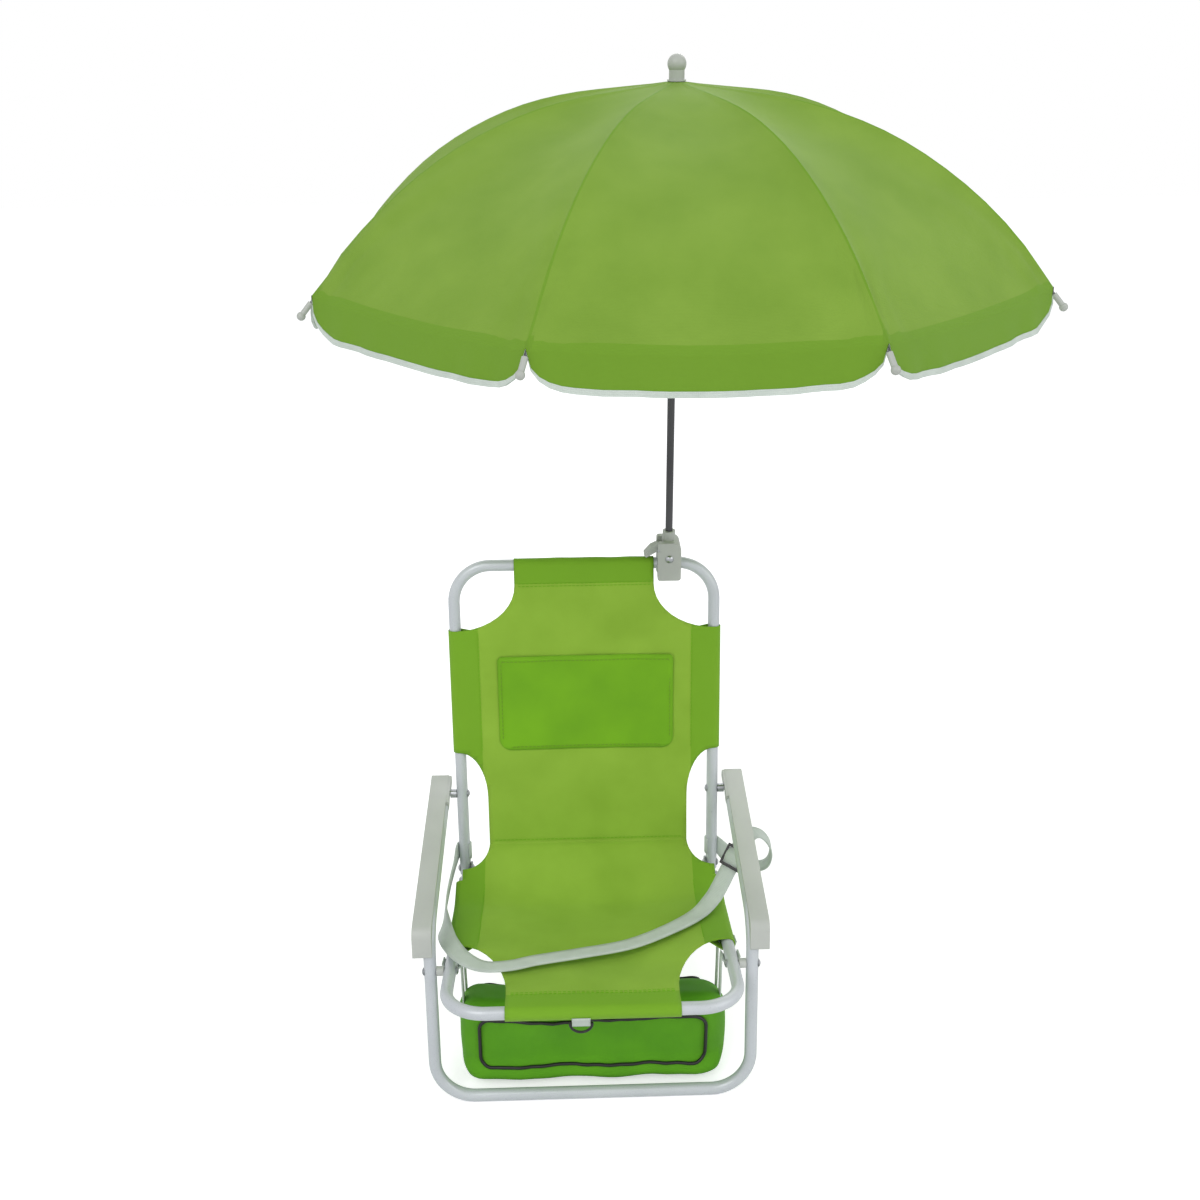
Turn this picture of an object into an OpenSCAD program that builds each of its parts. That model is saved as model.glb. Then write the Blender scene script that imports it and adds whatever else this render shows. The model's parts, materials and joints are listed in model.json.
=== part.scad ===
// Folding beach chair for a child, with a clamp-on parasol.
// Millimetres, +Z up. The origin is on the ground, in line with the pole from side to side and
// midway between the front of the seat and the rear of the parasol.
// The chair faces -Y. Its own middle plane lies at x = -pole_side.

/* [Frame tubes] */
// Outside diameter of the frame tubes
tube_d = 13; // [11:0.5:14]
// Wall of the frame tubes
tube_wall = 1.2; // [0.8:0.1:1.6]
// Half width of the front frame, to the middle of its tubes
front_half = 167; // [155:1:190]
// Length of the spacers between tubes that are riveted side by side
spacer_len = 7.5; // [7:0.5:10]
// Bend radius of the frame corners, to the middle of the tube
corner_r = 42; // [32:1:50]

/* [Front frame] */
// Height of the corner where the leg turns into the arm
knee_height = 194; // [185:1:210]
// How far that corner lies behind the front ground bar
knee_back = 38; // [25:1:50]
// Bend radius between leg and arm
knee_r = 40; // [30:1:44]
// Height of the rivet that carries the seat
seat_pivot_height = 152; // [145:1:154]

/* [Seat frame] */
// Slope of the seat, down to the rear, in degrees
seat_slope = 12; // [8:0.5:14]
// From the seat rivet to the front bar
seat_front = 82; // [72:1:95]
// From the seat rivet to the rear end of the seat tube
seat_rear = 220; // [216:1:230]
// From the seat rivet to the back hinge, along the seat
hinge_at = 206; // [200:1:208]
// Room left between the seat tube and the folded back tube
fold_gap = 3.5; // [3:0.5:6]

/* [Back frame] */
// Recline of the back, in degrees from upright
recline = 11.2; // [8:0.2:14]
// From the back hinge to the middle of the top bar
back_len = 368; // [345:1:390]
// From the back hinge to the pin that the armrest hooks over
arm_pin_at = 95; // [92:1:100]

/* [Rear leg] */
// From the seat rivet to the rear leg's rivet, along the seat
leg_pivot_at = 140; // [125:1:150]
// How far that rivet hangs below the middle of the seat tube
leg_pivot_drop = 14; // [13:0.5:16]
// How far the rear ground bar lies behind the front one
rear_foot_back = 300; // [280:1:320]

/* [Armrests] */
// Plastic above the arm tube
arm_top = 2.6; // [2:0.1:5]
// Width of the arm tube's inner side that the armrest leaves bare
arm_bare = 3; // [2:0.5:4]
// Plastic on the outer side of the arm tube
arm_outer = 10; // [6:0.5:12]
// How far the armrest's sides reach below the middle of the tube
arm_skirt = 4; // [3:0.5:6]
// How far the armrest reaches behind its hook
arm_tail = 26; // [20:1:34]
// Length of the nose over the bend at the front
arm_nose = 30; // [26:1:34]

/* [Rivets and pins] */
// Diameter of the frame rivets
rivet_d = 5; // [4:0.2:6]
// Diameter of a rivet's head
rivet_head_d = 9; // [8:0.5:11]
// Height of a rivet's head
rivet_head_h = 2.2; // [1.6:0.1:3]
// Diameter of the pin that the armrest hooks over
arm_pin_d = 6; // [5:0.5:7]
// Thickness of the steel plates
plate_t = 2; // [1.5:0.1:2.4]

/* [Sling] */
// Thickness of the sling fabric
cloth_t = 1.2; // [0.8:0.1:1.4]
// Half width of the sling at the waist
waist_half = 118; // [108:1:124]
// Half width of the sleeve on the top bar
top_sleeve_half = 78; // [70:1:86]
// Half width of the sleeve on the front bar
front_sleeve_half = 86; // [78:1:94]
// Lower and upper end of the back's side sleeves, from the hinge
back_sleeve_low = 148; // [135:1:160]
// Upper end of the back's side sleeves, from the hinge
back_sleeve_high = 294; // [280:1:305]
// Front end of the seat's side sleeves, behind the seat rivet
seat_sleeve_front = 38; // [34:1:45]
// Rear end of the seat's side sleeves, behind the seat rivet
seat_sleeve_rear = 200; // [190:1:203]
// Half width of the pocket on the back
pocket_half = 100; // [88:1:108]
// Lower edge of the pocket, from the hinge
pocket_low = 150; // [142:1:158]
// Height of the pocket
pocket_h = 113; // [95:1:125]

/* [Bag, ring and strap] */
// Half width of the bag under the seat
bag_half = 142; // [125:1:148]
// Height of the bag's front panel
bag_h = 96; // [80:1:102]
// Depth of the bag
bag_depth = 84; // [60:1:90]
// Gap between the ground and the bag
bag_ground_gap = 9; // [6:1:14]
// Width of the shoulder strap
strap_w = 19; // [15:1:22]
// Thickness of the shoulder strap
strap_t = 1.8; // [1.2:0.1:2.4]
// Diameter of the wire of the ring
ring_wire_d = 2.6; // [2:0.2:3.2]
// Radius of the ring, to the middle of its wire
ring_r = 11; // [9:0.5:13]

/* [Parasol] */
// How far the pole stands beside the middle of the chair
pole_side = 95; // [92:1:96]
// Diameter of the pole
pole_d = 8; // [7:0.5:9]
// Wall of the pole
pole_wall = 0.8; // [0.6:0.1:1.2]
// Height of the finial's top above the ground
total_height = 1010; // [980:5:1040]
// Distance from the pole to the rib tips
canopy_r = 372; // [340:2:400]
// Length of the straight part of a rib beside the crown
rib_straight = 72; // [50:2:90]
// Slope of a rib beside the crown, in degrees
rib_slope = 6; // [3:0.5:10]
// How far a rib bends down along its length, in degrees
rib_bend = 42; // [34:1:46]
// Bend radius of a rib
rib_r = 392; // [370:2:410]
// Diameter of the rib wire
rib_d = 2.6; // [2.2:0.1:3.2]
// Distance from a rib's hinge to the stretcher's joint on it
stretcher_at = 183; // [170:1:195]
// Distance from the crown's hinges down to the runner's, with the parasol open
runner_drop = 144; // [135:1:155]
// Travel of the runner
runner_travel = 230; // [215:1:234]
// Thickness of the canopy fabric
canopy_t = 1; // [0.8:0.1:1.4]
// How far the hem hangs below the line between two tips
hem_drop = 33; // [20:1:42]

/* [Hidden] */
$fn = 48;

// Clearances
run_fit = 0.05;
skin_gap = 0.3;
face_gap = 0.1;
// A rod is a trace wider at a bend out of its plane, and the straight part starts a little inside it
bend_swell = 0.04;
bend_lap = 0.6;

// Colours
tube_paint = [0.74, 0.78, 0.80];
zinc = [0.70, 0.71, 0.72];
white_plastic = [0.88, 0.90, 0.88];
black_plastic = [0.06, 0.06, 0.06];
green_cloth = [0.50, 0.68, 0.22];
green_double = [0.40, 0.62, 0.14];
bag_green = [0.30, 0.55, 0.10];
webbing = [0.84, 0.88, 0.84];
wire_grey = [0.35, 0.35, 0.36];

// Vectors in the side view are [y, z], with y behind the front ground bar and z above the ground.
tr = tube_d / 2;
seat_half = front_half - tube_d - spacer_len;
plate_outer = seat_half - tr - face_gap;
plate_inner = plate_outer - plate_t;
leg_spacer = 5.4;
rear_half = plate_inner - leg_spacer - tr;
end_past = 7;

function unit(v) = v / norm(v);
function side(x, p) = [x, p[0], p[1]];

foot = [0, tr];
knee = [knee_back, knee_height];
leg_dir = unit(foot - knee);
seat_pivot = knee + leg_dir * (knee_height - seat_pivot_height) / -leg_dir[1];
seat_dir = [cos(seat_slope), -sin(seat_slope)];
seat_up = [sin(seat_slope), cos(seat_slope)];
seat_bar = seat_pivot - seat_front * seat_dir;
seat_end = seat_pivot + seat_rear * seat_dir;
hinge_rise = tube_d + fold_gap;
hinge = seat_pivot + hinge_at * seat_dir + hinge_rise * seat_up;
back_dir = [sin(recline), cos(recline)];
back_top = hinge + back_len * back_dir;
arm_pin = hinge + arm_pin_at * back_dir;
arm_len = norm(arm_pin - knee);
arm_dir = unit(arm_pin - knee);
leg_pivot = seat_pivot + leg_pivot_at * seat_dir - leg_pivot_drop * seat_up;
rear_foot = [rear_foot_back, tr];
rear_dir = unit(rear_foot - leg_pivot);
rear_up = [-rear_dir[1], rear_dir[0]];
stop_along = 18;
leg_stop = leg_pivot + stop_along * rear_dir + (tr + rivet_d / 2 + face_gap) * rear_up;

// Puts the children in the chair's own frame
module chair() translate([-pole_side, -origin_back, 0]) children();

// Puts the children round the pole
module on_pole() translate([0, back_top[0] - origin_back, 0]) children();

// Turns local +Y to the side-view direction d and puts the local origin at o
module plane_at(o, d) translate([0, o[0], o[1]]) rotate([atan2(d[1], d[0]), 0, 0]) children();

// Draws the children on the right and on the left
module pair() {
    children();
    mirror([1, 0, 0]) children();
}

// A round bar along x between two places
module bar_x(p, x0, x1, d) translate([x0, p[0], p[1]]) rotate([0, 90, 0]) cylinder(d = d, h = x1 - x0);

// A round bar between two points
module bar(a, b, d) {
    v = b - a;
    translate(a) rotate([0, acos(v[2] / norm(v)), atan2(v[1], v[0])]) cylinder(d = d, h = norm(v));
}

// A low dome of radius a and height h
module dome(a, h) {
    ball_r = (a * a + h * h) / (2 * h);
    intersection() {
        translate([0, 0, h - ball_r]) sphere(ball_r);
        cylinder(r = a, h = 2 * h);
    }
}

// A rivet along x, with a dome at both ends
module rivet_x(p, x0, x1, d = rivet_d, head_d = rivet_head_d) {
    bar_x(p, x0, x1, d);
    translate([x1, p[0], p[1]]) rotate([0, 90, 0]) dome(head_d / 2, rivet_head_h);
    translate([x0, p[0], p[1]]) rotate([0, -90, 0]) dome(head_d / 2, rivet_head_h);
}

// One bent corner of a rod in the plane z = 0: the arc starts at angle a round [x, y]
module corner(x, y, r, a, d, turn = 90)
    translate([x, y, 0]) rotate([0, 0, a]) rotate_extrude(angle = turn) translate([r, 0]) circle(d = d);

// A rod bent to a U: the bar lies on the x axis and both sides run along +Y
module u_rod(half, len, d, more = 0) {
    straight = half - corner_r;
    for (s = [-1, 1]) translate([s * half, corner_r, 0])
        rotate([-90, 0, 0]) cylinder(d = d, h = len - corner_r + more);
    translate([-straight, 0, 0]) rotate([0, 90, 0]) cylinder(d = d, h = 2 * straight);
    corner(straight, corner_r, corner_r, -90, d);
    corner(-straight, corner_r, corner_r, 180, d);
}

module u_tube(half, len) difference() {
    u_rod(half, len, tube_d);
    u_rod(half, len, tube_d - 2 * tube_wall, 1);
}

// A plug with a low dome in the end of a tube that runs towards u
module end_cap(end, u, depth) {
    plug_d = tube_d - 2 * tube_wall - 2 * run_fit;
    bar(end - depth * u, end + 0.5 * u, plug_d);
    translate(end) rotate([0, acos(u[2]), atan2(u[1], u[0])]) dome(tr, 2.4);
}

// Moves the corners of an outline out by r, for rounded() to round by r
function outset(p, r) = [for (i = [0 : len(p) - 1]) let (
    b = p[i], u = unit(p[(i + len(p) - 1) % len(p)] - b), w = unit(p[(i + 1) % len(p)] - b),
    m = b - unit(u + w) * r / sin(acos(u * w) / 2)) [m[0], m[1], r]];

// Stands a side-view outline up between x0 and x1
module slab_x(x0, x1) translate([x0, 0, 0]) rotate([90, 0, 90]) linear_extrude(x1 - x0) children();

// A quarter of an ellipse from angle a0 to a1
function quarter(c, rx, ry, a0, a1, n = 8) =
    [for (i = [0 : n]) let (a = a0 + (a1 - a0) * i / n) [c[0] + rx * cos(a), c[1] + ry * sin(a)]];

// Rounds the corners of an outline, given as [y, z, radius]
function rounded(p, n = 6) = [for (i = [0 : len(p) - 1]) let (
    a = p[(i + len(p) - 1) % len(p)], b = p[i], c = p[(i + 1) % len(p)],
    u = unit([a[0] - b[0], a[1] - b[1]]), w = unit([c[0] - b[0], c[1] - b[1]]),
    half = acos(u * w) / 2, t = b[2] / tan(half),
    m = [b[0], b[1]] + unit(u + w) * b[2] / sin(half),
    s = [b[0], b[1]] + t * u - m, e = [b[0], b[1]] + t * w - m,
    a0 = atan2(s[1], s[0]), turn0 = atan2(e[1], e[0]) - a0,
    turn = turn0 > 180 ? turn0 - 360 : turn0 < -180 ? turn0 + 360 : turn0)
    for (j = [0 : n]) m + b[2] * [cos(a0 + turn * j / n), sin(a0 + turn * j / n)]];

// Front frame: the legs, the ground bar and the arms are one bent tube
hook_room = 25;
leg_len = norm(knee - foot);
knee_turn = acos(-leg_dir * arm_dir);
knee_take = knee_r * tan(knee_turn / 2);
screw_at = [70, 160];
screw_d = 3;

// The bend at the knee and the straight arm behind it, in the plane of the legs
module arm_rod(len, d) translate([front_half, leg_len - knee_take, -knee_r]) {
    rotate([0, -90, 0]) corner(0, 0, knee_r, 0, d + bend_swell, knee_turn);
    rotate([-knee_turn, 0, 0]) translate([0, -bend_lap, knee_r])
        rotate([-90, 0, 0]) cylinder(d = d, h = len - knee_take + bend_lap);
}

module front_rod(d, more = 0) plane_at(foot, -leg_dir) {
    u_rod(front_half, leg_len - knee_take, d, bend_lap);
    pair() arm_rod(arm_len - hook_room + more, d);
}

module front_tube() color(tube_paint) chair() difference() {
    front_rod(tube_d);
    front_rod(tube_d - 2 * tube_wall, 1);
    pair() bar_x(seat_pivot, front_half - tube_d, front_half + tube_d, rivet_d + 2 * run_fit);
    pair() for (s = screw_at) arm_screw_hole(s, screw_d + 2 * run_fit);
}

module arm_screw_hole(s, d)
    plane_at(knee, arm_dir) translate([front_half, s, -tube_d]) cylinder(d = d, h = tube_d + tr + 1.4);

// Armrest: a plastic bar that sits over the arm tube and ends in a hook
arm_roof = tr + skin_gap + arm_top;
leg_local = [leg_dir * arm_dir, leg_dir * [-arm_dir[1], arm_dir[0]]];
nose_out = [leg_local[1], -leg_local[0]];
nose_front = nose_out * arm_roof;
nose_corner = nose_front + leg_local * (arm_roof - nose_front[1]) / leg_local[1];
nose_wrap = 3;
nose_back = -nose_out * nose_wrap;
nose_inner = nose_back + leg_local * (-arm_skirt - nose_back[1]) / leg_local[1];
nose_low = nose_corner + leg_local * arm_nose;
nose_low_back = nose_low - nose_out * (arm_roof + nose_wrap);
arm_outline = [
    [arm_len + arm_tail, arm_roof, 6], [nose_corner[0], nose_corner[1], 13],
    [nose_low[0], nose_low[1], 2], [nose_low_back[0], nose_low_back[1], 2],
    [nose_inner[0], nose_inner[1], 10], [arm_len + arm_tail, -arm_skirt, 5]];
hook_start = arm_len - hook_room + 2 * skin_gap;
hook_inset = 0.5;
hook_outline = [
    [arm_len + arm_tail - hook_inset, arm_roof - hook_inset, 6], [hook_start, arm_roof - hook_inset, 1],
    [hook_start, hook_inset - arm_skirt, 1], [arm_len + arm_tail - hook_inset, hook_inset - arm_skirt, 3]];
arm_x0 = front_half - tr + arm_bare;
arm_x1 = front_half + tr + arm_outer;
hook_x0 = front_half - tr;
arm_pin_reach = 4.5;
exit_angle = 208;

module armrest() color(white_plastic) chair() difference() {
    plane_at(knee, arm_dir) {
        slab_x(arm_x0, arm_x1) polygon(rounded(arm_outline));
        slab_x(hook_x0, arm_x0 + 1) polygon(rounded(hook_outline));
    }
    plane_at(foot, -leg_dir) {
        translate([front_half, 0, 0]) rotate([-90, 0, 0])
            cylinder(d = tube_d + 2 * skin_gap, h = leg_len - knee_take + bend_lap);
        arm_rod(arm_len - hook_room + skin_gap, tube_d + 2 * skin_gap);
    }
    bar_x(arm_pin, hook_x0 - 1, hook_x0 + arm_pin_reach + skin_gap, arm_pin_d + 2 * skin_gap);
    plane_at(knee, arm_dir) slab_x(hook_x0 - 1, hook_x0 + arm_pin_reach + skin_gap) hook_mouth();
    for (s = screw_at) arm_screw_hole(s, screw_d);
}

// The mouth of the hook opens forwards and down, the way that the pin leaves
module hook_mouth() {
    w = arm_pin_d / 2 + skin_gap;
    translate([arm_len, 0])
      rotate(exit_angle)
        polygon([[0, 0.1 - w], [24, -w - 2], [24, w + 2], [0, w - 0.1]]);
}

module armrest_right() armrest();
module armrest_left() translate([-2 * pole_side, 0, 0]) mirror([1, 0, 0]) armrest();

module armrest_screws() color(zinc) chair() pair() for (s = screw_at)
    plane_at(knee, arm_dir) translate([front_half, s, 0]) {
        translate([0, 0, -tr - 1.7]) cylinder(d = screw_d, h = tube_d + 3);
        translate([0, 0, -tr - 1.7]) cylinder(d = 6, h = 1.6);
    }

// Seat frame
plate_rivets = [hinge_at - 30, hinge_at];
bracket_rivets = [leg_pivot_at - 14, leg_pivot_at + 14];

function on_seat(s, n = 0) = seat_pivot + s * seat_dir + n * seat_up;

module seat_tube() color(tube_paint) chair() difference() {
    plane_at(seat_bar, seat_dir) u_tube(seat_half, seat_front + seat_rear);
    pair() for (s = concat([0], plate_rivets, bracket_rivets))
        bar_x(on_seat(s), seat_half - tube_d, seat_half + tube_d, rivet_d + 2 * run_fit);
}

module seat_end_caps() color(black_plastic) chair() pair()
    end_cap(side(seat_half, seat_end), side(0, seat_dir), 8);

// Each hinge plate is riveted to the end of the seat tube and carries the back
module hinge_plates() color(zinc) chair() pair() difference() {
    slab_x(plate_inner, plate_outer)
        polygon(rounded(outset([on_seat(plate_rivets[0]), on_seat(plate_rivets[1]), hinge], 7.5)));
    for (p = [on_seat(plate_rivets[0]), on_seat(plate_rivets[1]), hinge])
        bar_x(p, plate_inner - 1, plate_outer + 1, rivet_d + 2 * run_fit);
}

module hinge_rivets() color(zinc) chair() pair() {
    rivet_x(hinge, plate_inner - face_gap, seat_half + tr + face_gap);
    rivet_x(on_seat(plate_rivets[1]), plate_inner - face_gap, seat_half + tr + face_gap);
    flush_rivet(on_seat(plate_rivets[0]));
}

// A rivet that is flush on the outer side, under the sleeve
module flush_rivet(p) {
    bar_x(p, plate_inner - face_gap, seat_half + tr - 0.4, rivet_d);
    translate([plate_inner - face_gap, p[0], p[1]]) rotate([0, -90, 0]) dome(rivet_head_d / 2, rivet_head_h);
}

// Each leg bracket hangs from the seat tube and carries the rear leg and its stop
module leg_brackets() color(zinc) chair() pair() difference() {
    slab_x(plate_inner, plate_outer)
        polygon(rounded(outset(
            [on_seat(bracket_rivets[0]), on_seat(bracket_rivets[1]), leg_stop, leg_pivot], 6.5)));
    for (p = [on_seat(bracket_rivets[0]), on_seat(bracket_rivets[1]), leg_pivot, leg_stop])
        bar_x(p, plate_inner - 1, plate_outer + 1, rivet_d + 2 * run_fit);
}

module leg_rivets() color(zinc) chair() pair() {
    rivet_x(leg_pivot, rear_half - tr - face_gap, plate_outer + face_gap);
    bar_x(leg_stop, rear_half - 2, plate_outer + face_gap, rivet_d);
    translate([plate_outer + face_gap, leg_stop[0], leg_stop[1]])
        rotate([0, 90, 0]) dome(rivet_head_d / 2, rivet_head_h);
    for (s = bracket_rivets) flush_rivet(on_seat(s));
}

module seat_rivets() color(zinc) chair() pair()
    rivet_x(seat_pivot, seat_half - tr - face_gap, front_half + tr + face_gap);

module spacer(p, x0, x1) difference() {
    bar_x(p, x0 + face_gap, x1 - face_gap, 10);
    bar_x(p, x0 - 1, x1 + 1, rivet_d + 2 * run_fit);
}

module frame_spacers() color(white_plastic) chair() pair() {
    spacer(seat_pivot, seat_half + tr, front_half - tr);
    spacer(leg_pivot, rear_half + tr, plate_inner);
}

// Rear leg
rear_top = leg_pivot - end_past * rear_dir;

module rear_tube() color(tube_paint) chair() difference() {
    plane_at(rear_foot, -rear_dir) u_tube(rear_half, norm(rear_foot - rear_top));
    pair() bar_x(leg_pivot, rear_half - tube_d, rear_half + tube_d, rivet_d + 2 * run_fit);
}

module rear_end_caps() color(black_plastic) chair() pair()
    end_cap(side(rear_half, rear_top), side(0, -rear_dir), end_past - rivet_d / 2 - skin_gap);

// Back frame
back_end = hinge - end_past * back_dir;

module back_tube() color(tube_paint) chair() difference() {
    plane_at(back_top, -back_dir) u_tube(seat_half, back_len + end_past);
    pair() bar_x(hinge, seat_half - tube_d, seat_half + tube_d, rivet_d + 2 * run_fit);
    pair() bar_x(arm_pin, seat_half - tube_d, seat_half + tube_d, arm_pin_d + 2 * run_fit);
}

module back_end_caps() color(tube_paint) chair() pair()
    end_cap(side(seat_half, back_end), side(0, -back_dir), end_past - rivet_d / 2 - skin_gap);

// Each arm pin goes through the back tube, carries a spacer and ends inside the armrest's hook
module arm_pins() color(zinc) chair() pair() {
    bar_x(arm_pin, seat_half - tr - face_gap, hook_x0 + arm_pin_reach, arm_pin_d);
    bar_x(arm_pin, seat_half + tr + face_gap, hook_x0 - skin_gap, 10);
    translate([seat_half - tr - face_gap, arm_pin[0], arm_pin[1]])
        rotate([0, -90, 0]) dome(rivet_head_d / 2, rivet_head_h);
}

// Sling: the cloth lies on the front of the tubes, on sleeves that go round them
sleeve_in = tr + skin_gap;
sleeve_out = sleeve_in + cloth_t;
crease_rise = 33;
ramp_start = 160;

module sleeve(a, b) difference() {
    bar(a, b, 2 * sleeve_out);
    bar(a - unit(b - a), b + unit(b - a), 2 * sleeve_in);
}

function back_edge() = concat(
    [[top_sleeve_half, back_len]],
    quarter([seat_half, back_sleeve_high + 52], seat_half - top_sleeve_half, 52, 180, 270),
    [[seat_half, back_sleeve_low]],
    quarter([seat_half, back_sleeve_low - 56], seat_half - waist_half, 56, 90, 180),
    [[waist_half, crease_rise]]);

function seat_edge() = concat(
    [[waist_half, ramp_start], [waist_half + 5, ramp_start], [seat_half - 0.5, ramp_start - 1]],
    quarter([seat_half - 0.5, -62], seat_half - 0.5 - front_sleeve_half, 62 + seat_sleeve_front, 90, 180),
    [[front_sleeve_half, -seat_front]]);

function mirrored(p) = concat(p, [for (i = [len(p) - 1 : -1 : 0]) [-p[i][0], p[i][1]]]);

function on_back(s, n = 0) = hinge + s * back_dir + n * [-back_dir[1], back_dir[0]];

// The flat cloth is a trace thinner than the sleeves that its edges end in
module panel(o, d, edge) plane_at(o, d) translate([0, 0, sleeve_in + 0.2])
    linear_extrude(cloth_t - 0.4) polygon(mirrored(edge));

module sling_back() color(green_cloth) chair() {
    panel(hinge, back_dir, back_edge());
    pair() sleeve(side(seat_half, on_back(back_sleeve_low)), side(seat_half, on_back(back_sleeve_high)));
    sleeve(side(-top_sleeve_half, back_top), side(top_sleeve_half, back_top));
}

module sling_seat() color(green_cloth) chair() difference() {
    union() {
        panel(seat_pivot, seat_dir, seat_edge());
        pair() sleeve(side(seat_half, on_seat(seat_sleeve_front)),
            side(seat_half, on_seat(seat_sleeve_rear)));
        sleeve(side(0.5 - front_sleeve_half, seat_bar), side(front_sleeve_half - 0.5, seat_bar));
    }
    pair() plate_room(bracket_rivets[0] - 9, sleeve_in - 2 * skin_gap);
    pair() plate_room(plate_rivets[0] - 9, 2 * sleeve_out);
}

// The space on the inner side of the seat tube from s to the rear, up to height n
module plate_room(s, n) plane_at(seat_pivot, seat_dir)
    translate([waist_half + 6, s, -2 * sleeve_out])
        cube([plate_outer + skin_gap - waist_half - 6, seat_rear, 2 * sleeve_out + n]);

// The slack part of the sling, between the seat and the back
module sling_crease() color(green_cloth) chair() {
    low = on_seat(ramp_start + face_gap, sleeve_in);
    high = on_back(crease_rise - face_gap, sleeve_in);
    slab_x(-waist_half, waist_half) polygon([low, high,
        on_back(crease_rise - face_gap, sleeve_out), on_seat(ramp_start + face_gap, sleeve_out)]);
}

module back_pocket() color(green_double) chair() plane_at(hinge, back_dir)
    translate([0, 0, sleeve_out + face_gap]) linear_extrude(cloth_t) polygon(rounded([
        [-pocket_half, pocket_low, 14], [pocket_half, pocket_low, 14],
        [pocket_half, pocket_low + pocket_h, 4], [-pocket_half, pocket_low + pocket_h, 4]]));

// Ring on a tab under the front bar
ring_x = -12;
tab_half = 9;
ring_hang = 16;
ring_axis = seat_bar + [0, -ring_hang];
tab_in = sleeve_out + skin_gap;
tab_t = 1.5;
ring_eye = ring_wire_d / 2 + 0.3;

// The space above height n over the seat, to cut off what is sewn on from below
module above_seat(x, s, w, len, n) plane_at(seat_pivot, seat_dir)
    translate([x, s, n]) cube([w, len, 3 * sleeve_out]);

module ring_tab() color(webbing) chair() difference() {
    union() {
        bar_x(seat_bar, ring_x - tab_half, ring_x + tab_half, 2 * (tab_in + tab_t));
        translate([ring_x - tab_half, ring_axis[0] - tab_t / 2, ring_axis[1]])
            cube([2 * tab_half, tab_t, ring_hang - tab_in]);
        bar_x(ring_axis, ring_x - tab_half, ring_x + tab_half, 2 * (ring_eye + tab_t));
    }
    bar_x(seat_bar, ring_x - tab_half - 1, ring_x + tab_half + 1, 2 * tab_in);
    bar_x(ring_axis, ring_x - tab_half - 1, ring_x + tab_half + 1, 2 * ring_eye);
    above_seat(ring_x - 2 * tab_half, -seat_front - 2 * tab_in, 4 * tab_half, 4 * tab_in, 0);
}

module d_ring() color(black_plastic) chair() {
    bar_x(ring_axis, ring_x - ring_r, ring_x + ring_r, ring_wire_d);
    translate([ring_x, ring_axis[0], ring_axis[1]]) {
        rotate([90, 180, 0]) rotate_extrude(angle = 180) translate([ring_r, 0]) circle(d = ring_wire_d);
        for (s = [-1, 1]) translate([s * ring_r, 0, 0]) sphere(d = ring_wire_d);
    }
}

// Bag: a soft box that hangs from the seat tubes by four loops
bag_front = 22;
bag_bulge = 8;
bag_corner = 14;
bag_loop_w = 14;
bag_loop_low = 24;

module bag_slab(half, y, z0, z1) for (x = [-1, 1], z = [z0 + bag_corner, z1 - bag_corner])
    translate([x * (half - bag_corner), y, z]) rotate([-90, 0, 0]) cylinder(r = bag_corner, h = 1, $fn = 20);

// A tape that goes round the seat tube and down to the bag
module bag_loop(s, inner, cut_at) {
    outer = inner + tab_t;
    low = bag_ground_gap + bag_h - bag_loop_low;
    a = on_seat(s);
    b = on_seat(s + bag_loop_w);
    difference() {
        union() {
            bar(side(seat_half, a), side(seat_half, b), 2 * outer);
            slab_x(seat_half - outer + 0.2, seat_half - inner - 0.1)
                polygon([a + [0.4, 0], b - [0.4, 0], [b[0] - 0.4, low], [a[0] + 0.4, low]]);
        }
        bar(side(seat_half, on_seat(s - 1)), side(seat_half, on_seat(s + bag_loop_w + 1)), 2 * inner);
        above_seat(seat_half - 2 * outer, s - 9, 4 * outer, bag_loop_w + 18, cut_at);
    }
}

module storage_bag() color(bag_green) chair() {
    low = bag_ground_gap;
    high = bag_ground_gap + bag_h;
    hull() {
        bag_slab(bag_half - bag_bulge - 14, bag_front, low + 6, high - 6);
        bag_slab(bag_half, bag_front + bag_depth * 0.3, low, high);
        bag_slab(bag_half, bag_front + bag_depth * 0.8, low, high);
        bag_slab(bag_half - bag_bulge, bag_front + bag_depth - 1, low + 4, high - 8);
    }
    pair() {
        bag_loop(14, sleeve_in, 2 * sleeve_out);
        bag_loop(62, sleeve_out + skin_gap, sleeve_in - 2 * skin_gap);
    }
}

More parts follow.
